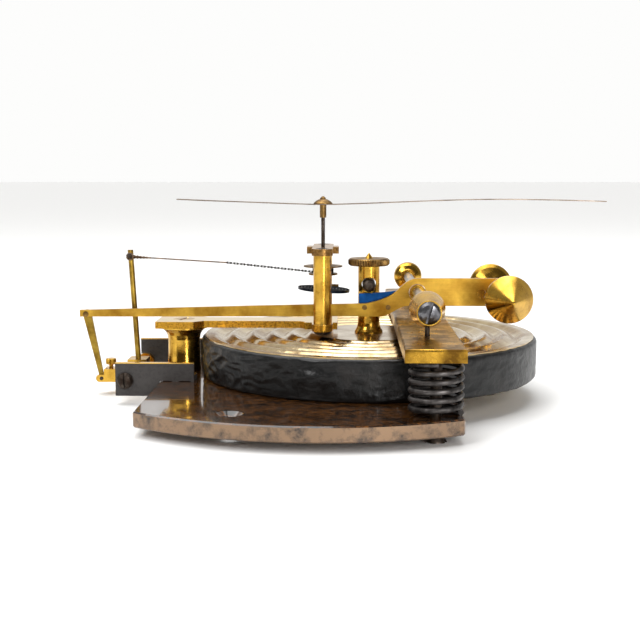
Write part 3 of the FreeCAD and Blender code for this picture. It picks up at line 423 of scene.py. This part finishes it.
LEVER_BRASS = Metal("rolled brass, grained along the lever", clean="#dcb048", toned="#94691f",
                    toned_share=0.45, patch_mm=7.0, roughness=0.24, toned_roughness=0.34,
                    lines=Lines.ALONG_X, line_mm=0.16, line_depth_mm=0.004, spot_share=0.05)
BAR_BRASS = Metal("rolled brass, polished bar", clean="#cfa03a", toned="#5e4216", toned_share=0.65,
                  patch_mm=4.0, roughness=0.16, toned_roughness=0.34, lines=Lines.ALONG_Y, line_mm=0.2,
                  line_depth_mm=0.002, spot_share=0.35)
DULL_BRASS = Metal("satin brass, toned by handling", clean="#b4943e", toned="#755a22", toned_share=0.5,
                   patch_mm=3.0, roughness=0.3, toned_roughness=0.42, lines=Lines.CAST, line_mm=0.3,
                   line_depth_mm=0.006, spot_share=0.25)
BRIDGE_BRASS = Metal("polished brass, bridge", clean="#dcb04c", toned="#94691f", toned_share=0.35,
                     patch_mm=4.0, roughness=0.13, toned_roughness=0.26, lines=Lines.ALONG_X,
                     line_mm=0.2, line_depth_mm=0.003, spot_share=0.2)
AGED_BRASS = Metal("aged brass, lacquer gone", clean="#9a7a46", toned="#5a4226", toned_share=0.5,
                   patch_mm=1.6, roughness=0.3, toned_roughness=0.46, lines=Lines.CAST, line_mm=0.5,
                   line_depth_mm=0.01, spot_share=0.3)
DARK_STEEL = Metal("oil-darkened steel", clean="#5b534c", toned="#332a24", toned_share=0.6, patch_mm=1.4,
                   roughness=0.34, toned_roughness=0.5, lines=Lines.CAST, line_mm=0.3,
                   line_depth_mm=0.01, spots="#7a4e2c", spot_share=0.45)
GREY_STEEL = Metal("oiled screw steel", clean="#77777a", toned="#47464a", toned_share=0.45, patch_mm=1.8,
                   roughness=0.22, toned_roughness=0.36, lines=Lines.CAST, line_mm=0.3,
                   line_depth_mm=0.004, spots="#4c3a2c", spot_share=0.2)
SPRING_STEEL = Metal("hard-drawn spring steel", clean="#6c6866", toned="#343130", toned_share=0.5,
                     patch_mm=2.5, roughness=0.34, toned_roughness=0.48, lines=Lines.CAST, line_mm=0.35,
                     line_depth_mm=0.008, spots="#5f4330", spot_share=0.3)
BRIGHT_STEEL = Metal("ground steel rod", clean="#c9c4c0", toned="#8f8880", toned_share=0.3, patch_mm=3.0,
                     roughness=0.22, toned_roughness=0.34, lines=Lines.ALONG_Y, line_mm=0.15,
                     line_depth_mm=0.002, spots="#6a5c50", spot_share=0.1)
BLUED_STEEL = Metal("heat-blued spring steel", clean="#1f58a0", toned="#123868", toned_share=0.35,
                    patch_mm=3.0, roughness=0.3, toned_roughness=0.4, lines=Lines.ALONG_X, line_mm=0.2,
                    line_depth_mm=0.002, spots="#0b1c38", spot_share=0.1)
BLUE_BLACK = Metal("blue-black hairspring steel", clean="#2c3542", toned="#12151c", toned_share=0.5,
                   patch_mm=1.0, roughness=0.28, toned_roughness=0.4, lines=Lines.CAST, line_mm=0.3,
                   line_depth_mm=0.002, spots="#0c0c10", spot_share=0.1)
HAND_STEEL = Metal("toned steel strip", clean="#97887a", toned="#6b5c50", toned_share=0.4, patch_mm=6.0,
                   roughness=0.34, toned_roughness=0.45, lines=Lines.ALONG_X, line_mm=0.2,
                   line_depth_mm=0.002, spots="#4c3c30", spot_share=0.2)
WIRE_BRONZE = Metal("drawn bronze wire", clean="#8c7460", toned="#4e3c2e", toned_share=0.5, patch_mm=1.2,
                    roughness=0.3, toned_roughness=0.44, lines=Lines.ALONG_X, line_mm=0.2,
                    line_depth_mm=0.002, spots="#4c3828", spot_share=0.3)
CHAIN_STEEL = Metal("blackened chain steel", clean="#4c4744", toned="#221e1c", toned_share=0.6,
                    patch_mm=0.8, roughness=0.36, toned_roughness=0.5, lines=Lines.CAST, line_mm=0.2,
                    line_depth_mm=0.004, spots="#5a3c26", spot_share=0.2)
BASE_VARNISH = EdgedPlate("varnished bronze base plate", top_mm=-0.4, coat=0.9,
                          top=("#0b0705", "#6c4219"), side=("#86684a", "#33261b"), side_metallic=0.6,
                          side_roughness=0.36, top_roughness=0.16, streak_mm=1.3, streak_share=1.0,
                          stipple_mm=3.2)
BRIDGE_GILT = EdgedPlate("gilt brass bridge, polished face and stippled edge", top_mm=10.2,
                         top=("#dcb866", "#a87c34"), side=("#cf9a34", "#6c4718"), top_metallic=1.0,
                         side_metallic=1.0, top_roughness=0.1, side_roughness=0.3, streak_mm=2.0,
                         streak_share=0.3, stipple_mm=0.35, stipple_depth_mm=0.06)
COCK_GILT = EdgedPlate("toned brass cock", top_mm=25.1, top=("#a98350", "#6e4e2a"),
                       side=("#8f6c3c", "#54391f"), top_metallic=1.0, side_metallic=1.0,
                       top_roughness=0.25, side_roughness=0.36, streak_mm=1.5, streak_share=0.5,
                       stipple_mm=0.6, stipple_depth_mm=0.02)
WAX = SealingWax("black sealing wax")
FLOOR = PaintedBoard("matt white floor")


def turned_brass(piece: str, centre: Triple, axis: Axis = Axis.Z) -> Metal:
    """Polished, lacquered brass with lathe rings round a piece's own axis.

    Args:
        piece: Name of the piece, for the material's name.
        centre: Point on the axis, in millimetres.
        axis: Direction of the axis.

    Returns:
        The finish.
    """
    return Metal(f"turned brass, {piece}", clean="#d8ab46", toned="#a67c2c", toned_share=0.35, patch_mm=3.5,
                 roughness=0.13, toned_roughness=0.27, lines=Lines.TURNED, line_mm=0.14, line_depth_mm=0.003,
                 centre=centre, axis=axis, spot_share=0.15)


# ---------------------------------------------------------------- dressing and modelling


def dress(node: str, finish: Finish) -> None:
    """Give a carried-over node its finish in every material slot.

    Args:
        node: Name of the node.
        finish: The finish.
    """
    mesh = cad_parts[node].data
    mesh.materials.clear()
    mesh.materials.append(finish.material())
    LOG.info("%s: %s", node, finish.name)


def centre_of(node: str) -> Triple:
    """Middle of a node's box, in millimetres."""
    low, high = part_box(node)
    middle = (low + high) / 2 / MM
    return (middle.x, middle.y, middle.z)


def keep_mesh(mesh: bmesh.types.BMesh, name: str, finish: Finish) -> bpy.types.Object:
    """Merge doubles, turn the faces outwards and make the object.

    Args:
        mesh: The mesh, in millimetres; it is freed.
        name: Name of the piece.
        finish: Its finish.

    Returns:
        The new object, at the origin.
    """
    bmesh.ops.remove_doubles(mesh, verts=mesh.verts, dist=WELD_MM)
    bmesh.ops.recalc_face_normals(mesh, faces=mesh.faces)
    bmesh.ops.scale(mesh, vec=(MM, MM, MM), verts=mesh.verts)
    data = bpy.data.meshes.new(name)
    mesh.to_mesh(data)
    mesh.free()
    data.shade_smooth()
    data.materials.append(finish.material())
    piece = bpy.data.objects.new(name, data)
    bpy.context.scene.collection.objects.link(piece)
    LOG.info("%s: %d faces, %s", name, len(data.polygons), finish.name)
    return piece


def sweep(mesh: bmesh.types.BMesh, centres: Sequence[Vector], radii: Sequence[float],
          sides: int = 10) -> None:
    """Extrude a round section through a line of centres and close both ends.

    Args:
        mesh: The mesh to add to, in millimetres.
        centres: Centres of the sections.
        radii: Radius at each centre.
        sides: Sides of the section.
    """
    stations = []
    for i, (centre, radius) in enumerate(zip(centres, radii)):
        ahead = centres[min(i + 1, len(centres) - 1)] - centres[max(i - 1, 0)]
        turn = ahead.to_track_quat("Z", "Y").to_matrix().to_4x4()
        stations.append(Matrix.Translation(centre) @ turn @ Matrix.Scale(radius, 4))
    ring = bmesh.ops.create_circle(mesh, cap_ends=True, segments=sides, radius=1.0, matrix=stations[0])
    edges = list({e for v in ring["verts"] for e in v.link_edges})
    for before, after in zip(stations, stations[1:]):
        grown = bmesh.ops.extrude_edge_only(mesh, edges=edges)["geom"]
        edges = [g for g in grown if isinstance(g, bmesh.types.BMEdge)]
        verts = [g for g in grown if isinstance(g, bmesh.types.BMVert)]
        bmesh.ops.transform(mesh, matrix=after @ before.inverted(), verts=verts)
        edges = [e for e in edges if all(v in verts for v in e.verts)]
    bmesh.ops.contextual_create(mesh, geom=edges)


@dataclass
class FuseeChain:
    """Riveted flat-link chain: pairs of outer plates, with single plates between them.

    Attributes:
        pitch: Distance from rivet to rivet, in millimetres.
        width: Width of a plate.
        gauge: Thickness of a plate.
        apart: Height of an outer plate above the middle of the chain.
        rivet_radius: Radius of a rivet.
    """

    pitch: float = 0.68
    width: float = 0.4
    gauge: float = 0.12
    apart: float = 0.115
    rivet_radius: float = 0.12

    def plate(self, mesh: bmesh.types.BMesh, rise: float, width: float, place: Matrix) -> None:
        """Add one oval plate that reaches from rivet to rivet.

        Args:
            mesh: The mesh to add to, in millimetres.
            rise: Height of the plate's middle.
            width: Its width.
            place: Where the link's first rivet is, with X along the chain and Z along the rivet.
        """
        oval = bmesh.ops.create_circle(mesh, cap_ends=True, segments=10, radius=width / 2)["verts"]
        bmesh.ops.translate(mesh, vec=(0, 0, rise - self.gauge / 2), verts=oval)
        bmesh.ops.translate(mesh, vec=(self.pitch, 0, 0), verts=[v for v in oval if v.co.x > 0])
        flat = list({f for v in oval for f in v.link_faces})
        grown = bmesh.ops.extrude_face_region(mesh, geom=flat)["geom"]
        upper = [g for g in grown if isinstance(g, bmesh.types.BMVert)]
        bmesh.ops.translate(mesh, vec=(0, 0, self.gauge), verts=upper)
        bmesh.ops.transform(mesh, matrix=place, verts=oval + upper)

    def rivet(self, mesh: bmesh.types.BMesh, place: Matrix) -> None:
        """Add a rivet through the plates."""
        bmesh.ops.create_cone(mesh, cap_ends=True, segments=6, radius1=self.rivet_radius,
                              radius2=self.rivet_radius, depth=2 * self.apart + 1.6 * self.gauge,
                              matrix=place)

    def lay(self, mesh: bmesh.types.BMesh, rivets: Sequence[Vector], up: Vector) -> None:
        """Lay links from rivet to rivet.

        Args:
            mesh: The mesh to add to, in millimetres.
            rivets: Places of the rivets.
            up: Direction of the rivets.
        """
        for i, (here, there) in enumerate(zip(rivets, rivets[1:])):
            along = (there - here).normalized()
            side = up.cross(along).normalized()
            turn = Matrix((along, side, along.cross(side))).transposed().to_4x4()
            place = Matrix.Translation(here) @ turn
            if i % 2:
                self.plate(mesh, 0.0, 0.85 * self.width, place)
            else:
                self.plate(mesh, self.apart, self.width, place)
                self.plate(mesh, -self.apart, self.width, place)
            self.rivet(mesh, place)


# ---------------------------------------------------------------- sub-assemblies


@dataclass
class BasePlate:
    """The base plate with the screws that serve as its feet."""

    def make(self) -> None:
        """Dress the plate and its screws."""
        dress("base_plate", BASE_VARNISH)
        for node in ("adjusting_screw_front", "adjusting_screw_rear", "pillar_screw", "chamber_stud",
                     "bracket_screws"):
            dress(node, DARK_STEEL)


@dataclass
class VacuumChamber:
    """The chamber, its wax, its corrugated sheets and the post that stands on it.

    Attributes:
        wax_mm: Thickness of the wax.
        skirt_mm: How far it hangs over the lower sheet's rim.
        shoulder_mm: Radius of the wax's rounded edges.
        rows: Rows of faces up the wall.
        steps: Faces round the wall.
        turn_in_mm: How far the rounded edges draw in.
        fold_side: Direction of the part that is folded most, in degrees.
        fold_spread: How far from there the folds fade, in degrees.
        nub_side: Direction of the sealed pipe stub, in degrees.
        nub_mm: Height of the stub's middle.
        nub_rise_mm: How far the wax stands out over the stub.
        nub_half_mm: Half the stub's width and half its height.
    """

    wax_mm: float = 0.6
    skirt_mm: float = 0.09
    shoulder_mm: float = 0.9
    rows: int = 26
    steps: int = 560
    turn_in_mm: float = 0.45
    fold_side: float = -152.0
    fold_spread: float = 24.0
    nub_side: float = -108.2
    nub_mm: float = 3.7
    nub_rise_mm: float = 0.85
    nub_half_mm: tuple[float, float] = (2.7, 1.5)

    def make(self) -> None:
        """Model the wax and dress the chamber's pieces."""
        middle = centre_of("upper_diaphragm")
        tin = Metal("spun tinned sheet", clean="#cbb892", toned="#94784e", toned_share=0.45, patch_mm=9.0,
                    roughness=0.07, toned_roughness=0.2, lines=Lines.TURNED, line_mm=0.3, line_depth_mm=0.003,
                    centre=middle, spots="#7c6446", spot_share=0.2)
        for node in ("upper_diaphragm", "lower_diaphragm", "chamber_ring"):
            dress(node, tin)
        self.wax_wall()
        dress("chamber_spring", SPRING_STEEL)
        dress("centre_post", turned_brass("centre post", middle))
        dress("post_screw", turned_brass("centre post", middle))
        dress("post_pin", DARK_STEEL)
        dress("thumb_nut", AGED_BRASS)

    def wax_wall(self) -> None:
        """Spin the wax's section round the chamber, then fold and swell its outer side."""
        low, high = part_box("wax_coat")
        centre = Vector(((low.x + high.x) / 2 / MM, 0.0, 0.0))
        radius = (high.x - low.x) / 2 / MM
        bottom, top = low.z / MM - self.skirt_mm, high.z / MM
        inner = radius - self.wax_mm
        mesh = bmesh.new()
        corners = [mesh.verts.new((centre.x + r, 0.0, z))
                   for r, z in ((inner, bottom), (radius, bottom), (radius, top), (inner, top))]
        sides = [mesh.edges.new((corners[i], corners[(i + 1) % 4])) for i in range(4)]
        bmesh.ops.subdivide_edges(mesh, edges=[sides[1]], cuts=self.rows)
        for vert in mesh.verts:
            self.round_edge(vert, centre.x + radius, bottom, top)
        bmesh.ops.spin(mesh, geom=mesh.verts[:] + mesh.edges[:], cent=centre, axis=(0, 0, 1),
                       angle=math.tau, steps=self.steps, use_merge=True)
        for vert in mesh.verts:
            out = vert.co - centre
            out.z = 0.0
            if out.length > inner + 0.1:
                fade = min(1.0, (vert.co.z - bottom) / 0.6, (top - vert.co.z) / 0.5)
                vert.co += out.normalized() * self.swell(vert.co, out) * (0.3 + 0.7 * fade)
                vert.co.z += 0.12 * (1.0 - fade) * noise.noise(vert.co / 2.0)
        wall = keep_mesh(mesh, "wax_wall", WAX)
        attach(wall, "frame")
        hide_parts("wax_coat")

    def round_edge(self, vert: bmesh.types.BMVert, outside: float, bottom: float, top: float) -> None:
        """Draw a point of the section in where the wax turns over at its edges.

        Args:
            vert: Point of the section.
            outside: X of the wax's outer side.
            bottom: Height of its lower edge.
            top: Height of its upper edge.
        """
        if vert.co.x < outside - 0.01:
            return
        near = min(vert.co.z - bottom, top - vert.co.z)
        if near < self.shoulder_mm:
            slope = 1.0 - near / self.shoulder_mm
            vert.co.x -= self.turn_in_mm * (1.0 - math.sqrt(max(0.0, 1.0 - slope * slope)))

    def swell(self, place: Vector, out: Vector) -> float:
        """How far the wax stands out or sinks at a place, in millimetres.

        Args:
            place: Place on the wall.
            out: Direction from the chamber's axis, level.

        Returns:
            The distance, outwards.
        """
        side = math.degrees(math.atan2(out.y, out.x))
        folded = 0.18 + 0.82 * math.exp(-((side - self.fold_side) / self.fold_spread) ** 2)
        crease = abs(noise.noise(Vector((place.x / 3.4, place.y / 3.4, place.z / 1.2 + 7.0))))
        ripple = noise.noise(Vector((place.x / 1.3, place.y / 1.3, place.z / 0.7)))
        lumps = 0.16 * noise.noise(place / 6.5) + 0.06 * noise.noise(place / 2.4)
        across = math.radians(side - self.nub_side) * out.length
        rise = place.z - self.nub_mm
        far = math.hypot(across / self.nub_half_mm[0], rise / self.nub_half_mm[1])
        nub = self.nub_rise_mm * math.exp(-far * far) - 0.25 * math.exp(-9.0 * far * far)
        return folded * (0.3 - 0.85 * min(crease, 0.5) + 0.07 * ripple) - 0.06 + lumps + nub


@dataclass
class FulcrumBar:
    """The bar, its coil springs and fulcrum pins."""

    def make(self) -> None:
        """Dress the bar's pieces."""
        dress("fulcrum_bar", BAR_BRASS)
        for node in ("fulcrum_spring_front", "fulcrum_spring_rear"):
            dress(node, SPRING_STEEL)
        dress("fulcrum_pins", DARK_STEEL)


@dataclass
class Lever:
    """The lever with its axle, knobs, strip, counterweights and link."""

    def make(self) -> None:
        """Dress the lever's pieces."""
        axle = centre_of("lever_axle")
        weight = centre_of("counterweight_rod")
        dress("lever", LEVER_BRASS)
        dress("link", DULL_BRASS)
        dress("compensation_strip", BLUED_STEEL)
        dress("strip_rivets", AGED_BRASS)
        dress("lever_pin", AGED_BRASS)
        dress("knob_screws", GREY_STEEL)
        for node in ("lever_axle", "counterweight_rod"):
            dress(node, BRIGHT_STEEL)
        for node in ("lever_hub", "axle_knob_front", "axle_knob_rear", "tail_pin"):
            dress(node, turned_brass("lever axle", axle, Axis.Y))
        for node in ("counterweight_front", "counterweight_rear"):
            dress(node, turned_brass("counterweights", weight, Axis.Y))


@dataclass
class Rocker:
    """The rocker between its brackets, with its rod, arm and slider."""

    def make(self) -> None:
        """Dress the rocker's pieces."""
        arbor = centre_of("rocker_arbor")
        for node in ("rocker_arbor", "rocker_block", "slider_block"):
            dress(node, turned_brass("rocker arbor", arbor, Axis.Y))
        dress("rocker_rod", DULL_BRASS)
        dress("thumb_screw", turned_brass("clamp screw", centre_of("thumb_screw")))
        for node in ("rod_pin", "link_pin", "pivot_screws"):
            dress(node, DARK_STEEL)
        for node in ("bracket_front", "bracket_rear"):
            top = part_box(node)[1].z / MM
            dress(node, EdgedPlate(f"blackened brass, {node}", top_mm=top, worn_mm=0.22,
                                   top=("#e0b45c", "#b0802c"),
                                   side=("#383432", "#2a2624"), top_metallic=1.0, top_roughness=0.25,
                                   side_roughness=0.55, stipple_mm=0.5, stipple_depth_mm=0.01))


@dataclass
class DrawChain:
    """The twisted hook, wire and chain from the rocker's rod to the drum, and the turns on the drum.

    Attributes:
        chain: The chain's own sizes.
        eye_mm: Radius of the hook's eye, to the middle of its wire.
        strand_mm: Radius of a strand of the hook.
        twist_mm: Length of one twist.
        wire_mm: Radius of the wire.
        drum_mm: Radius of the chain's middle on the drum.
        turns: Turns on the drum.
        pin_y_mm: Where the eye sits along the rod's pin.
        pin_inset_mm: How far the pin is inside the near upper corner of the wire's box.
        knot_share: Share of the way from the pin to the chain at which the hook ends.
    """

    chain: FuseeChain
    eye_mm: float = 0.6
    strand_mm: float = 0.2
    twist_mm: float = 1.3
    wire_mm: float = 0.13
    drum_mm: float = 1.98
    turns: float = 2.0
    pin_y_mm: float = -1.0
    pin_inset_mm: float = 0.8
    knot_share: float = 0.23

    def make(self) -> None:
        """Model the hook, the wire with its chain, and the turns."""
        wire_low, wire_high = (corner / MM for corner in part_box("draw_wire"))
        chain_low, chain_high = (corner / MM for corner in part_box("draw_chain"))
        turns_low, turns_high = (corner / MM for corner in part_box("chain_turns"))
        inset = self.chain.width / 2
        contact = Vector((0.0, -self.drum_mm, turns_low.z + inset))
        start = Vector((chain_low.x, chain_high.y - inset, chain_high.z - inset))
        pin = Vector((wire_low.x + self.pin_inset_mm, self.pin_y_mm, wire_high.z - self.pin_inset_mm))
        knot = pin + (start - pin) * self.knot_share
        self.hook(pin, knot)
        self.run(knot, start, contact)
        self.winding(contact, turns_high.z - turns_low.z - 2 * inset)

    def hook(self, pin: Vector, knot: Vector) -> None:
        """Eye round the rod's pin and two strands that twist together and taper to the wire.

        Args:
            pin: Middle of the eye.
            knot: Where the wire begins.
        """
        mesh = bmesh.new()
        around = [pin + self.eye_mm * Vector((math.cos(a), 0.0, math.sin(a)))
                  for a in (math.tau * i / 28 for i in range(29))]
        sweep(mesh, around, [self.strand_mm] * len(around))
        along = knot - pin
        begin = pin + along.normalized() * self.eye_mm
        length = (knot - begin).length
        side = Vector((0, 1, 0))
        up = along.normalized().cross(side)
        steps, opening, closed = 44, 0.17, 0.04
        for half in (0.0, math.pi):
            centres = []
            for i in range(steps + 1):
                share = i / steps
                spread = opening * (1 - share) + closed
                angle = half + math.tau * share * length / self.twist_mm
                swing = math.cos(angle) * side + math.sin(angle) * up
                centres.append(begin.lerp(knot, share) + spread * swing)
            sweep(mesh, centres, [self.strand_mm * (1 - 0.45 * i / steps) for i in range(steps + 1)])
        piece = keep_mesh(mesh, "draw_hook", WIRE_BRONZE)
        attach(piece, "draw")
        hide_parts("draw_wire")

    def run(self, knot: Vector, start: Vector, contact: Vector) -> None:
        """Wire and straight chain between the moving hook and the drum.

        Args:
            knot: Where the wire begins.
            start: Where the chain begins.
            contact: Where the chain meets the drum.
        """
        wire = bmesh.new()
        steps = 24
        sweep(wire, [knot.lerp(start, i / steps) for i in range(steps + 1)], [self.wire_mm] * (steps + 1))
        pieces = {"draw_wire": keep_mesh(wire, "pull_wire", WIRE_BRONZE)}
        links = bmesh.new()
        whole = contact - start
        count = round(whole.length / self.chain.pitch)
        self.chain.lay(links, [start + whole * i / count for i in range(count + 1)], Vector((0, 0, 1)))
        pieces["draw_chain"] = keep_mesh(links, "pull_chain", CHAIN_STEEL)
        for node, piece in pieces.items():
            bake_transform(piece)
            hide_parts(node)

    def winding(self, contact: Vector, climb: float) -> None:
        """Links wound on the drum.

        Args:
            contact: Where the chain meets the drum.
            climb: How far the turns rise up the drum, in millimetres.
        """
        mesh = bmesh.new()
        count = round(self.turns * math.tau * self.drum_mm / self.chain.pitch)
        rivets = []
        for i in range(count + 1):
            angle = -math.pi / 2 + math.tau * self.turns * i / count
            rivets.append(Vector((self.drum_mm * math.cos(angle), self.drum_mm * math.sin(angle),
                                  contact.z + climb * i / count)))
        self.chain.lay(mesh, rivets, Vector((0, 0, 1)))
        piece = keep_mesh(mesh, "wound_chain", CHAIN_STEEL)
        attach(piece, "hand")
        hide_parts("chain_turns")


@dataclass
class Bridge:
    """The pillar, bridge plate and arbor frame."""

    def make(self) -> None:
        """Dress the bridge's pieces."""
        dress("bridge_pillar", turned_brass("bridge pillar", centre_of("bridge_pillar")))
        dress("bridge_plate", BRIDGE_GILT)
        dress("bridge_screw", BRIDGE_BRASS)
        dress("frame_screws", DARK_STEEL)
        for node in ("frame_pillar_front", "frame_pillar_rear"):
            dress(node, turned_brass(node.replace("_", " "), centre_of(node)))
        dress("top_cock", COCK_GILT)
        dress("hairspring_stud", AGED_BRASS)


@dataclass
class Hand:
    """The arbor with its drum, hairspring, boss and pointer."""

    def make(self) -> None:
        """Dress the hand's pieces."""
        dress("hand_arbor", DARK_STEEL)
        dress("chain_drum", AGED_BRASS)
        dress("hairspring_collet", AGED_BRASS)
        dress("hairspring", BLUE_BLACK)
        dress("pointer_boss", AGED_BRASS)
        dress("pointer", HAND_STEEL)


# ---------------------------------------------------------------- studio


@dataclass
class Studio:
    """The floor, lights and camera.

    Attributes:
        floor_z_mm: Height of the floor, where the feet stand.
        eye_mm: Place of the camera.
        tilt_deg: How far the camera looks down.
        turn_deg: How far it is turned towards -X.
        lens_mm: Its focal length on a 36 mm sensor.
    """

    floor_z_mm: float = -4.85
    eye_mm: Triple = (5.06, -226.0, 39.6)
    tilt_deg: float = 7.45
    turn_deg: float = 1.44
    lens_mm: float = 62.8

    def make(self) -> None:
        """Build the floor, the lights, the surround and the camera."""
        self.floor()
        self.surround()
        self.sun((-0.30, 0.10, 0.95), 2.1)
        self.box("key", (-0.30, -0.34, 0.36), size=0.20, power=1.1, target=(0.0, 0.0, 0.01))
        self.box("strip", (0.19, -0.44, 0.12), size=0.05, power=1.3, target=(0.0, 0.0, 0.01), tall=6.0)
        self.box("top", (0.05, 0.16, 0.50), size=0.40, power=1.0, target=(0.0, 0.0, 0.0))
        self.camera()

    def floor(self) -> None:
        """Wide level board."""
        mesh = bmesh.new()
        bmesh.ops.create_grid(mesh, x_segments=2, y_segments=2, size=6000.0)
        bmesh.ops.translate(mesh, verts=mesh.verts, vec=(0, 0, self.floor_z_mm))
        keep_mesh(mesh, "floor", FLOOR)

    def surround(self) -> None:
        """Pale room ahead of the camera, darker behind it, so that polished metal mirrors both."""
        world = bpy.data.worlds.new("studio")
        world.use_nodes = True
        tree = world.node_tree
        tree.nodes.clear()
        where = add(tree, "ShaderNodeTexCoord")
        aim = add(tree, "ShaderNodeSeparateXYZ", {0: where.outputs["Generated"]})
        ahead = add(tree, "ShaderNodeMapRange", {"Value": aim.outputs["Y"], "From Min": -0.25,
                                                 "From Max": 0.9})
        shade = add(tree, "ShaderNodeMix", {0: ahead.outputs[0], 6: linear("#4a4744"),
                                            7: linear("#fbfbfa")}, data_type="RGBA")
        ray = add(tree, "ShaderNodeLightPath")
        seen = add(tree, "ShaderNodeMix", {0: ray.outputs["Is Camera Ray"], 6: shade.outputs[2],
                                           7: linear("#fdfdfc")}, data_type="RGBA")
        sky = add(tree, "ShaderNodeBackground", {"Color": seen.outputs[2], "Strength": 1.0})
        add(tree, "ShaderNodeOutputWorld", {"Surface": sky.outputs[0]})
        bpy.context.scene.world = world

    def hang(self, name: str, lamp: bpy.types.Light, place: Triple, target: Triple) -> None:
        """Hang a lamp so that it faces a point.

        Args:
            name: Name of the lamp.
            lamp: Its light data.
            place: Where it hangs, in metres.
            target: The point that it faces, in metres.
        """
        holder = bpy.data.objects.new(name, lamp)
        holder.location = place
        aim = Vector(target) - Vector(place)
        holder.rotation_euler = aim.to_track_quat("-Z", "Y").to_euler()
        bpy.context.scene.collection.objects.link(holder)

    def sun(self, place: Triple, power: float) -> None:
        """Broad soft daylight.

        Args:
            place: Direction that it comes from.
            power: Its strength in watts per square metre.
        """
        lamp = bpy.data.lights.new("daylight", "SUN")
        lamp.energy = power
        lamp.angle = math.radians(DAYLIGHT_SPREAD_DEG)
        self.hang("daylight", lamp, place, (0.0, 0.0, 0.0))

    def box(self, name: str, place: Triple, size: float, power: float, target: Triple,
            tall: float = 1.0) -> None:
        """Add one soft box.

        Args:
            name: Name of the light.
            place: Where it stands, in metres.
            size: Its width, in metres.
            power: Its power in watts.
            target: The point that it faces, in metres.
            tall: Its height, as a multiple of its width.
        """
        lamp = bpy.data.lights.new(name, "AREA")
        lamp.shape = "RECTANGLE"
        lamp.size = size
        lamp.size_y = size * tall
        lamp.energy = power
        self.hang(name, lamp, place, target)

    def camera(self) -> None:
        """Place the camera at eye height in front of the movement."""
        data = bpy.data.cameras.new("camera")
        data.lens = self.lens_mm
        data.sensor_width = SENSOR_MM
        data.clip_start = 0.005
        data.clip_end = 20.0
        eye = bpy.data.objects.new("camera", data)
        eye.location = [c * MM for c in self.eye_mm]
        eye.rotation_euler = (math.radians(90 - self.tilt_deg), 0.0, math.radians(self.turn_deg))
        bpy.context.scene.collection.objects.link(eye)
        bpy.context.scene.camera = eye


def main() -> None:
    """Build every sub-assembly."""
    logging.basicConfig(level=logging.INFO, format="%(name)s: %(message)s")
    bpy.context.scene.view_settings.view_transform = "Standard"
    for assembly in (BasePlate(), VacuumChamber(), FulcrumBar(), Lever(), Rocker(),
                     DrawChain(FuseeChain()), Bridge(), Hand(), Studio()):
        assembly.make()
        LOG.info("built %s", type(assembly).__name__)


if __name__ == "__main__":
    main()
